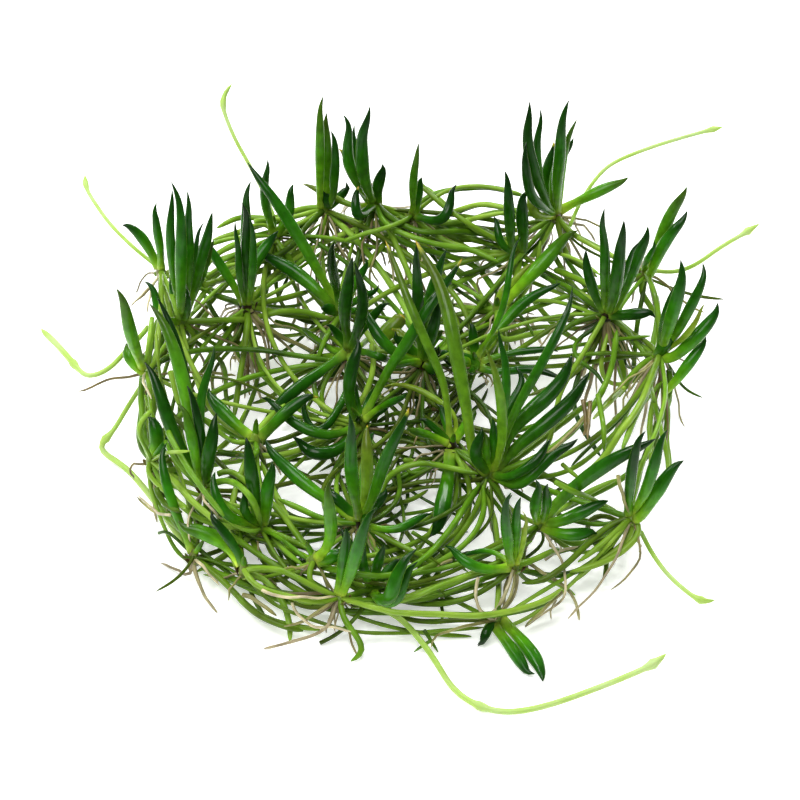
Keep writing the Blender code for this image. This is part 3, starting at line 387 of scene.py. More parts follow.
            (7, [(276, 534), (296, 542), (308, 549)]),
        ],
        "hanging": 1,
    },
    "rosette_left_front": {
        "crown": (194, 557, 3.5),
        "leaves": [
            (17, 1.3, "m", [(190, 547), (183, 530), (175, 510), (167, 486), (162, 463), (162, 443)]),
        ],
        "stolons": [
            (3, [(208, 568), (225, 576), (255, 587), (300, 600)]),
            (2, [(216, 575), (232, 590), (255, 613), (283, 626), (303, 631)]),
        ],
        "roots": [
            (0.6, 0.7, [(192, 573), (184, 576), (175, 570), (163, 563)]),
            (0.6, 0.8, [(195, 573), (203, 594), (217, 612)]),
            (2.5, 0.6, [(186, 540), (179, 522), (166, 516), (152, 512), (138, 496)]),
        ],
        "hanging": 0,
    },
    "rosette_left_front_inner": {
        "crown": (205, 487, 7.5),
        "leaves": [
            (20, 1.8, "d", [(206, 480), (207, 466), (210, 448), (214, 430), (214, 413)]),
            (21, 1.4, "b", [(201, 480), (196, 461), (192, 438), (187, 418), (183, 402)]),
            (23, 1.3, "d", [(203, 478), (203, 452), (199, 425), (194, 403), (189, 385)]),
            (24, 1.7, "d", [(198, 478), (188, 462), (179, 445), (168, 420), (160, 394), (148, 361)]),
            (30, 1.8, "b", [(200, 470), (193, 435), (187, 400), (180, 370), (172, 343), (162, 320),
                          (151, 303)]),
            (30, 1.3, "d", [(198, 462), (189, 400), (181, 360), (172, 328), (163, 309), (154, 297)]),
            (26, 1.2, "m", [(204, 470), (200, 430), (201, 398), (208, 373), (218, 348)]),
        ],
        "stolons": [
            (6, [(194, 478), (181, 460), (168, 443)]),
        ],
        "hanging": 2,
    },
    "rosette_left_low": {
        "crown": (151, 461, 9.5),
        "leaves": [
            (15, 1.9, "m", [(154, 456), (157, 444), (158, 433), (154, 424), (150, 416)]),
            (14, 0.9, "m", [(160, 451), (165, 444), (168, 437)]),
        ],
        "stolons": [
            (5, [(148, 475), (157, 489), (172, 500)]),
            (12, [(147, 448), (138, 432), (142, 420), (150, 413)]),
        ],
        "hanging": 1,
    },
    "rosette_left": {
        "crown": (146, 370, 14.5),
        "leaves": [
            (32, 1.7, "b", [(142, 366), (135, 347), (129, 327), (125, 307), (119, 288)]),
            (18, 1.6, "b", [(142, 371), (134, 366), (128, 355), (127, 343)]),
        ],
        "stolons": [
            (13, [(149, 357), (152, 338), (158, 318)]),
            (7, [(153, 385), (153, 405), (152, 428)]),
            (6, [(159, 375), (163, 392), (168, 408)]),
        ],
        "roots": [(8, 0.7, [(144, 376), (147, 388), (150, 398)])],
        "hanging": 1,
    },
    "rosette_left_back": {
        "crown": (181, 320, 13.5),
        "leaves": [
            (38, 1.5, "m", [(181, 310), (181, 282), (181, 252), (181, 222), (179, 200), (174, 181)]),
            (35, 1.3, "m", [(178, 300), (173, 265), (170, 237), (171, 213), (174, 190)]),
            (36, 1.4, "m", [(184, 308), (187, 280), (189, 250), (188, 220), (191, 192)]),
            (31, 0.8, "m", [(186, 308), (191, 275), (196, 247), (200, 221)]),
            (31, 1.6, "m", [(188, 305), (195, 282), (202, 255), (209, 232), (211, 212)]),
            (26, 1.4, "b", [(184, 318), (188, 307), (197, 285), (205, 263), (213, 240)]),
            (24, 1.4, "d", [(187, 315), (186, 302), (182, 284), (179, 266)]),
            (21, 1.2, "m", [(170, 322), (158, 312), (156, 298), (154, 287), (146, 280)]),
            (22, 0.9, "m", [(176, 310), (172, 288), (171, 270)]),
        ],
        "stolons": [
            (7, [(196, 337), (187, 352), (184, 372)]),
        ],
        "hanging": 2,
    },
    "rosette_left_outer": {
        "crown": (161, 272, 17.0),
        "leaves": [
            (24, 1.4, "m", [(158, 267), (151, 252), (142, 237), (133, 228), (123, 223)]),
            (29, 1.2, "m", [(161, 266), (160, 246), (156, 226), (156, 213), (152, 204)]),
        ],
        "stolons": [
            (14, [(161, 290), (165, 305), (172, 316)]),
        ],
        "roots": [(10, 0.55, [(155, 281), (149, 288), (132, 307)])],
        "hanging": 1,
    },
    "rosette_left_inner": {
        "crown": (247, 306, 13.0),
        "leaves": [
            (36, 1.5, "m", [(246, 298), (246, 262), (246, 228), (246, 203), (246, 181)]),
            (33, 1.6, "d", [(247, 301), (247, 276), (247, 248), (247, 224), (247, 203)]),
            (31, 1.1, "m", [(250, 296), (253, 262), (253, 235), (251, 216)]),
            (30, 0.9, "m", [(243, 298), (239, 272), (238, 246), (233, 221)]),
            (23, 1.3, "m", [(242, 300), (231, 281), (219, 263), (211, 250), (201, 235)]),
            (20, 1.6, "m", [(250, 296), (251, 270), (260, 254), (270, 242), (277, 230)]),
        ],
        "stolons": [
            (9, [(262, 309), (282, 314, 11), (310, 317), (333, 318)]),
            (10, [(262, 303), (285, 298, 12), (310, 291)]),
            (6, [(248, 322), (245, 347), (240, 376), (234, 418)]),
        ],
        "roots": [
            (5, 1.0, [(256, 318), (275, 333), (300, 346), (318, 352)]),
            (4, 0.7, [(258, 322), (280, 340), (300, 359)]),
            (3, 0.6, [(254, 322), (266, 345), (268, 372), (277, 397)]),
            (4, 0.7, [(240, 318), (232, 345), (243, 366), (255, 374)]),
            (5, 0.7, [(236, 312), (222, 322), (208, 312), (202, 300)]),
        ],
        "hanging": 2,
    },
    "rosette_back_far_left": {
        "crown": (274, 236, 16.0),
        "leaves": [
            (31, 1.3, "m", [(272, 228), (267, 211), (264, 193), (266, 174), (271, 161)]),
            (25, 1.4, "m", [(281, 229), (289, 215), (290, 202), (291, 184)]),
        ],
        "stolons": [
            (12, [(262, 247), (243, 257), (222, 270), (208, 283)]),
        ],
        "hanging": 2,
    },
    "rosette_centre_back": {
        "crown": (340, 313, 11.0),
        "leaves": [
            (31, 1.6, "m", [(335, 301), (321, 276), (304, 246), (288, 220), (271, 195), (258, 178),
                          (247, 163)]),
            (17, 1.9, "d", [(332, 305), (317, 290), (298, 274), (276, 261), (257, 252)]),
            (31, 1.4, "d", [(339, 304), (337, 290), (333, 272), (331, 257), (332, 241)]),
        ],
        "stolons": [
            (5, [(330, 323), (322, 332), (321, 340)]),
            (8.5, [(352, 313), (364, 328), (376, 348), (394, 364)]),
        ],
        "hanging": 1,
    },
    "rosette_centre_left": {
        "crown": (349, 350, 11.0),
        "leaves": [
            (31, 1.7, "d", [(348, 341), (345, 323), (345, 303), (349, 281), (351, 257)]),
            (30, 1.5, "d", [(353, 342), (360, 322), (363, 300), (360, 281), (354, 263)]),
            (9, 1.7, "d", [(346, 353), (335, 361), (317, 374), (300, 386), (284, 400), (268, 420), (258, 434)]),
            (9, 1.1, "d", [(351, 361), (349, 385), (336, 413), (320, 433), (308, 424), (303, 405), (306, 393)]),
        ],
        "stolons": [
            (8, [(341, 355), (325, 345), (303, 329)]),
        ],
        "hanging": 1,
    },
    "rosette_centre": {
        "crown": (423, 362, 11.0),
        "leaves": [
            (33, 1.5, "d", [(422, 354), (420, 330), (418, 300), (417, 275), (415, 243)]),
            (24, 1.6, "d", [(425, 354), (430, 338), (436, 318), (439, 296)]),
            (32, 1.5, "m", [(423, 351), (424, 325), (429, 300), (437, 275), (445, 249)]),
            (18, 1.5, "t", [(414, 363), (401, 357), (386, 345), (373, 328), (364, 305)]),
            (15, 1.9, "o", [(410, 352), (402, 340), (396, 327)]),
        ],
        "stolons": [
            (8, [(437, 356), (450, 345), (455, 335)]),
        ],
        "hanging": 2,
    },
    "rosette_centre_front": {
        "crown": (452, 446, 8.5),
        "leaves": [
            (6, 2.2, "d", [(450, 456), (448, 478), (444, 500), (440, 520), (433, 538)]),
            (30, 1.2, "s", [(450, 436), (447, 402), (441, 375), (430, 351), (420, 328), (409, 302),
                          (397, 270), (386, 240)]),
            (13, 0.8, "p", [(455, 436), (456, 415), (440, 402), (420, 390), (400, 384), (381, 386)]),
        ],
        "stolons": [],
        "roots": [
            (7, 0.5, [(440, 446), (420, 446), (396, 448)]),
            (7, 0.5, [(441, 438), (428, 428), (412, 444)]),
        ],
        "hanging": 2,
    },
    "rosette_centre_dark": {
        "crown": (361, 423, 8.0),
        "leaves": [
            (27, 1.5, "t", [(367, 411), (378, 390), (390, 367), (402, 350), (414, 331), (428, 308),
                          (444, 286), (463, 259)]),
            (20, 1.7, "d", [(354, 415), (349, 398), (350, 376), (355, 357), (362, 339)]),
            (12, 1.4, "d", [(350, 429), (330, 436), (306, 430), (286, 416), (274, 405), (265, 394)]),
            (9, 1.7, "d", [(352, 434), (344, 445), (330, 453), (315, 455), (303, 447), (296, 435)]),
        ],
        "stolons": [],
        "hanging": 1,
    },
    "rosette_centre_right": {
        "crown": (491, 473, 8.5),
        "leaves": [
            (30, 1.3, "v", [(497, 463), (502, 440), (502, 412), (499, 390), (495, 371), (487, 349)]),
            (19, 1.2, "m", [(494, 463), (495, 447), (493, 432), (494, 418)]),
            (17, 1.6, "d", [(482, 466), (474, 457), (477, 443), (484, 428)]),
            (18, 1.1, "b", [(488, 464), (486, 450), (487, 432)]),
            (20, 2.0, "d", [(499, 460), (510, 432), (528, 413), (547, 397), (562, 380), (573, 355)]),
            (17, 2.0, "d", [(501, 463), (517, 447), (540, 428), (562, 410), (577, 393), (588, 372)]),
            (28, 1.2, "m", [(496, 458), (500, 427), (506, 396), (506, 369), (503, 349), (494, 331)]),
            (18, 1.3, "d", [(499, 452), (503, 421), (514, 399), (524, 381), (518, 366)]),
            (14, 1.7, "d", [(500, 478), (514, 487), (527, 480), (541, 465), (556, 451), (568, 446),
                          (579, 443)]),
            (15, 1.3, "d", [(506, 478), (524, 470), (542, 455), (549, 438)]),
            (34, 1.8, "s", [(481, 470), (473, 455), (469, 427), (465, 400), (455, 347), (447, 308),
                          (434, 272), (413, 241)]),
            (31, 1.3, "d", [(499, 455), (509, 425), (521, 400), (535, 375), (549, 350), (562, 324),
                          (577, 289)]),
        ],
        "stolons": [
            (9, [(502, 469), (532, 447), (570, 417), (584, 406), (592, 401)]),
        ],
        "hanging": 2,
    },
    "rosette_centre_strap": {
        "crown": (476, 364, 8.0),
        "leaves": [
            (15, 1.5, "m", [(480, 355), (492, 337), (506, 321), (520, 305), (533, 296), (546, 289),
                          (561, 284)]),
            (24, 0.9, "m", [(478, 354), (490, 337), (500, 316), (506, 296), (510, 268), (516, 236)]),
            (10, 1.0, "d", [(486, 360), (510, 353), (535, 350), (558, 348)]),
            (8, 1.2, "d", [(486, 371), (503, 372), (522, 369), (541, 370), (562, 379)]),
            (10, 1.6, "d", [(474, 372), (480, 364), (466, 357), (446, 365)]),
        ],
        "stolons": [
            (7, [(470, 352), (458, 353, 9), (442, 360)]),
        ],
        "hanging": 1,
    },
    "rosette_front_middle": {
        "crown": (360, 522, 8.0),
        "leaves": [
            (29, 1.7, "m", [(358, 514), (354, 492), (351, 467), (351, 442), (353, 414)]),
            (14, 1.7, "m", [(350, 516), (332, 503), (310, 488), (290, 471), (275, 456), (263, 441)]),
            (27, 1.6, "t", [(366, 513), (374, 494), (381, 472), (390, 449), (400, 429), (411, 409)]),
            (20, 1.6, "o", [(363, 512), (367, 486), (367, 454), (366, 425)]),
            (9, 1.1, "m", [(374, 528), (399, 530), (416, 519), (431, 512)]),
        ],
        "stolons": [
            (8, [(350, 523), (325, 520), (301, 509), (278, 499)]),
        ],
        "hanging": 2,
    },
    "rosette_front_under": {
        "crown": (372, 590, 4.0),
        "leaves": [
            (14, 1.3, "m", [(368, 580), (362, 562), (364, 545)]),
            (14, 1.3, "m", [(374, 580), (378, 562), (385, 545)]),
            (15, 1.7, "m", [(380, 600), (391, 598), (394, 582), (401, 567), (413, 547)]),
            (13, 1.4, "m", [(384, 603), (398, 600), (404, 580), (415, 560)]),
        ],
        "stolons": [],
        "hanging": 0,
    },
    "rosette_inner_left": {
        "crown": (255, 441, 9.5),
        "leaves": [
            (13, 1.7, "m", [(250, 436), (238, 427), (224, 413), (213, 401), (206, 390)]),
            (15, 1.7, "t", [(262, 436), (273, 425), (287, 411), (301, 400), (316, 393)]),
        ],
        "stolons": [
            (11, [(258, 430), (275, 412), (285, 404)]),
            (7, [(240, 437), (215, 425), (201, 417)]),
        ],
        "hanging": 1,
    },
}

# Long stolons: height of the start and of the end, then the course
STOLONS = {
    "stolon_back_upper": (15, 17, [(457, 212), (479, 204, 17), (501, 207), (540, 217)]),
    "stolon_back_middle": (16, 13, [(436, 223), (465, 221, 17), (500, 212), (530, 222)]),
    "stolon_back_lower": (14, 10, [(379, 221), (402, 242), (437, 253), (475, 266), (498, 295)]),
    "stolon_left_back": (13, 16, [(200, 276), (214, 256), (238, 243), (262, 234, 15), (290, 228), (309, 218)]),
    "stolon_right": (12, 6, [(656, 297), (658, 312), (654, 340), (644, 376), (630, 405), (612, 440, 4), (596, 468), (573, 490, 5)]),
    "stolon_right_outer": (12, 5, [(669, 370), (671, 388), (665, 405), (655, 430), (640, 470), (634, 500)]),
    "stolon_right_inner": (10, 4, [(653, 402), (660, 421), (648, 455), (620, 480), (585, 498), (555, 513)]),
    "stolon_centre_left": (9, 7, [(372, 345), (373, 370), (362, 400), (337, 430), (305, 448), (272, 456), (218, 452)]),
    "stolon_centre_front": (8, 7.5, [(322, 567), (345, 572, 9), (388, 576), (421, 561), (448, 532), (480, 484)]),
    "stolon_front_inner_right": (7, 9, [(516, 461), (542, 474), (571, 489), (597, 503), (618, 512)]),
    "stolon_middle": (6, 9, [(370, 511), (379, 498), (384, 483), (397, 470), (422, 463), (450, 468), (478, 474)]),
    "stolon_front_upper": (3.5, 6, [(351, 605), (385, 605), (421, 592), (460, 579), (501, 568)]),
    "stolon_front_lower": (3, 4, [(312, 606), (345, 611), (400, 613), (455, 615, 4), (500, 614, 5), (540, 605), (562, 592)]),
    "stolon_front_left": (7, 4.5, [(231, 535), (255, 552), (285, 572), (326, 593)]),
    "stolon_left": (5.5, 6, [(161, 446), (180, 484), (197, 508), (221, 532)]),
    "stolon_left_inner": (8, 7, [(218, 474), (230, 470), (251, 486), (277, 508), (295, 532), (306, 549)]),
}

# Free runners, from the mat to the tip of the bud: heights of both ends, then the course
RUNNERS = {
    "runner_back_left": (14, 18, [(154, 264), (133, 247), (110, 224), (95, 203), (86, 188), (85, 175)]),
    "runner_back": (17, 31, [(275, 220), (266, 197), (250, 166), (236, 141), (227, 120), (222, 104), (225, 92), (232, 84)]),
    "runner_left": (12, 9, [(148, 327), (141, 336), (124, 353), (110, 368), (90, 377), (80, 371), (62, 350), (41, 329)]),
    "runner_back_right": (16, 25, [(570, 226), (580, 203), (595, 180), (613, 163), (655, 146), (706, 131), (723, 127)]),
    "runner_right": (14, 17, [(656, 271), (675, 272), (695, 265), (721, 247), (745, 233), (759, 224)]),
    "runner_left_front": (7, 1, [(143, 383), (127, 408), (112, 433, 4), (99, 448, 2), (127, 469, 1.5), (155, 502), (185, 546)]),
    "runner_front": (5, 7, [(352, 600), (375, 606), (402, 620, 3), (430, 653), (452, 687, 1), (475, 704), (505, 712, 1), (545, 706), (600, 687, 3), (650, 666), (666, 654)]),
    "runner_front_right": (5, 2, [(641, 532), (652, 553), (670, 577), (698, 600), (708, 602), (715, 600)]),
}


# Stems, roots and small leaves that lie among the others: the node they belong to, their kind and tone
# (light, middle, dark, pale, olive or brown), heights of both ends, width and course
SMALL_STRANDS = [
    ("rosette_back_middle", "stolon", "m", 14, 15, 0.8, [(381, 213), (421, 226), (462, 237), (503, 246)]),
    ("rosette_back_left", "stolon", "l", 12, 14, 0.8, [(213, 262), (244, 252), (275, 247), (304, 236)]),
    ("rosette_back_left", "stolon", "l", 11, 13, 0.75, [(206, 275), (240, 268), (270, 258), (300, 250)]),
    ("rosette_right", "stolon", "l", 9, 6, 0.8, [(668, 378), (670, 398), (662, 418), (650, 442)]),
    ("rosette_back_inner", "stolon", "m", 6, 5, 0.8, [(535, 302), (548, 318), (560, 330), (580, 342)]),
    ("rosette_front_left_upper", "stolon", "m", 4, 5, 0.8, [(222, 519), (243, 533), (268, 541), (299, 549)]),
    ("rosette_left_front", "stolon", "m", 3, 5, 0.8, [(209, 516), (220, 529), (234, 546), (252, 560)]),
    ("rosette_left_low", "stolon", "m", 7, 5, 0.8, [(173, 449), (189, 475), (209, 500), (232, 517)]),
    ("rosette_left_inner", "stolon", "m", 9, 8, 0.8, [(275, 322), (300, 329), (320, 345), (347, 365)]),
    ("rosette_left_inner", "stolon", "k", 12, 11, 0.9, [(243, 304), (224, 298), (206, 292)]),
    ("rosette_left_inner", "stolon", "k", 12, 8, 0.7, [(205, 296), (213, 312), (224, 328), (235, 345), (240, 360)]),
    ("rosette_left_inner", "stolon", "m", 12, 7, 0.75, [(240, 318), (228, 333), (214, 350), (203, 366)]),
    ("rosette_left_inner", "stolon", "k", 9, 7, 0.8, [(196, 333), (208, 342), (222, 346)]),
    ("rosette_left_inner", "stolon", "l", 11, 9, 0.8, [(208, 312), (198, 325), (188, 343), (182, 354)]),
    ("rosette_left_inner", "root", "o", 6, 4, 0.5, [(233, 358), (248, 353), (260, 357), (268, 367)]),
    ("rosette_left_inner", "root", "b", 8, 2, 0.7, [(245, 335), (248, 365), (249, 395)]),
    ("rosette_left_inner", "root", "p", 7, 2, 0.6, [(246, 340), (255, 378), (262, 402)]),
    ("rosette_left_inner", "root", "o", 7, 3, 0.5, [(250, 340), (255, 364), (257, 377)]),
    ("rosette_left_inner", "root", "o", 6, 3, 0.5, [(216, 352), (222, 368), (222, 382)]),
    ("rosette_left_inner", "root", "o", 5, 4, 0.5, [(210, 372), (222, 375), (237, 375)]),
    ("rosette_left_inner", "stolon", "k", 5, 6, 0.5, [(205, 402), (222, 388), (238, 380)]),
    ("rosette_front_right_inner", "stolon", "l", 7, 9, 0.8, [(552, 503), (576, 498), (601, 486), (617, 479)]),
    ("rosette_centre_front", "stolon", "m", 6, 7, 0.7, [(404, 460), (432, 464), (463, 470)]),
    ("rosette_front_middle", "stolon", "m", 6, 5, 0.75, [(372, 541), (401, 548), (430, 560), (440, 575)]),
    ("rosette_inner_left", "stolon", "l", 6, 11, 0.7, [(217, 450), (232, 438), (240, 424), (246, 409)]),
    ("rosette_back_inner", "root", "p", 7, 3, 0.6, [(486, 316), (470, 322), (452, 329), (437, 336)]),
    ("rosette_back_inner", "root", "p", 6, 2, 0.5, [(480, 325), (472, 337), (462, 347)]),
    ("rosette_back_inner", "root", "p", 6, 1, 0.6, [(527, 317), (536, 331), (542, 345)]),
    ("rosette_back_inner", "root", "p", 6, 4, 0.5, [(497, 305), (480, 296), (462, 292), (445, 298)]),
    ("rosette_back_inner", "root", "p", 6, 3, 0.55, [(495, 312), (476, 307), (458, 303), (444, 310), (438, 320)]),
    ("rosette_back_inner", "root", "o", 6, 3, 0.6, [(488, 300), (470, 287), (450, 284), (436, 291)]),
    ("rosette_back_inner", "root", "p", 6, 2, 0.5, [(490, 320), (473, 313), (455, 318), (448, 328)]),
    ("rosette_back_inner", "root", "o", 7, 2, 0.5, [(502, 320), (508, 333), (506, 347)]),
    ("rosette_back_inner", "root", "p", 7, 2, 0.45, [(508, 318), (520, 328), (523, 345)]),
    ("rosette_centre", "leaf", "c", 11, 14, 2.0, [(378, 340), (390, 330), (403, 316)]),
    ("rosette_centre_back", "root", "o", 7, 3, 0.6, [(297, 284), (299, 300), (295, 320), (290, 331)]),
    ("rosette_centre_left", "root", "b", 8, 5, 0.7, [(345, 377), (325, 381), (303, 389)]),
    ("rosette_front_under", "root", "o", 3, 2, 0.6, [(430, 583), (441, 588), (447, 596), (437, 603)]),
    ("rosette_centre_front", "root", "b", 6, 5, 0.6, [(432, 409), (446, 413), (458, 416)]),
    ("rosette_right_inner", "stolon", "l", 12, 7, 0.85, [(622, 322), (633, 336), (641, 350), (646, 366)]),
    ("rosette_right_inner", "stolon", "m", 13, 6, 0.8, [(611, 326), (617, 348), (623, 368), (626, 388)]),
    ("rosette_right_inner", "stolon", "l", 13, 5, 0.6, [(604, 326), (600, 350), (592, 371), (582, 388)]),
    ("rosette_right_inner", "stolon", "k", 13, 7, 1.0, [(600, 328), (589, 352), (580, 373)]),
    ("rosette_right_inner", "root", "o", 13, 11, 0.6, [(600, 318), (577, 322), (562, 330)]),
    ("rosette_right_inner", "root", "b", 10, 6, 1.0, [(606, 345), (608, 362), (604, 378)]),
    ("rosette_right_inner", "stolon", "m", 9, 10, 0.65, [(618, 396), (632, 380), (646, 364)]),
    ("rosette_right_inner", "stolon", "k", 12, 8, 0.6, [(619, 336), (628, 351), (636, 364)]),
]

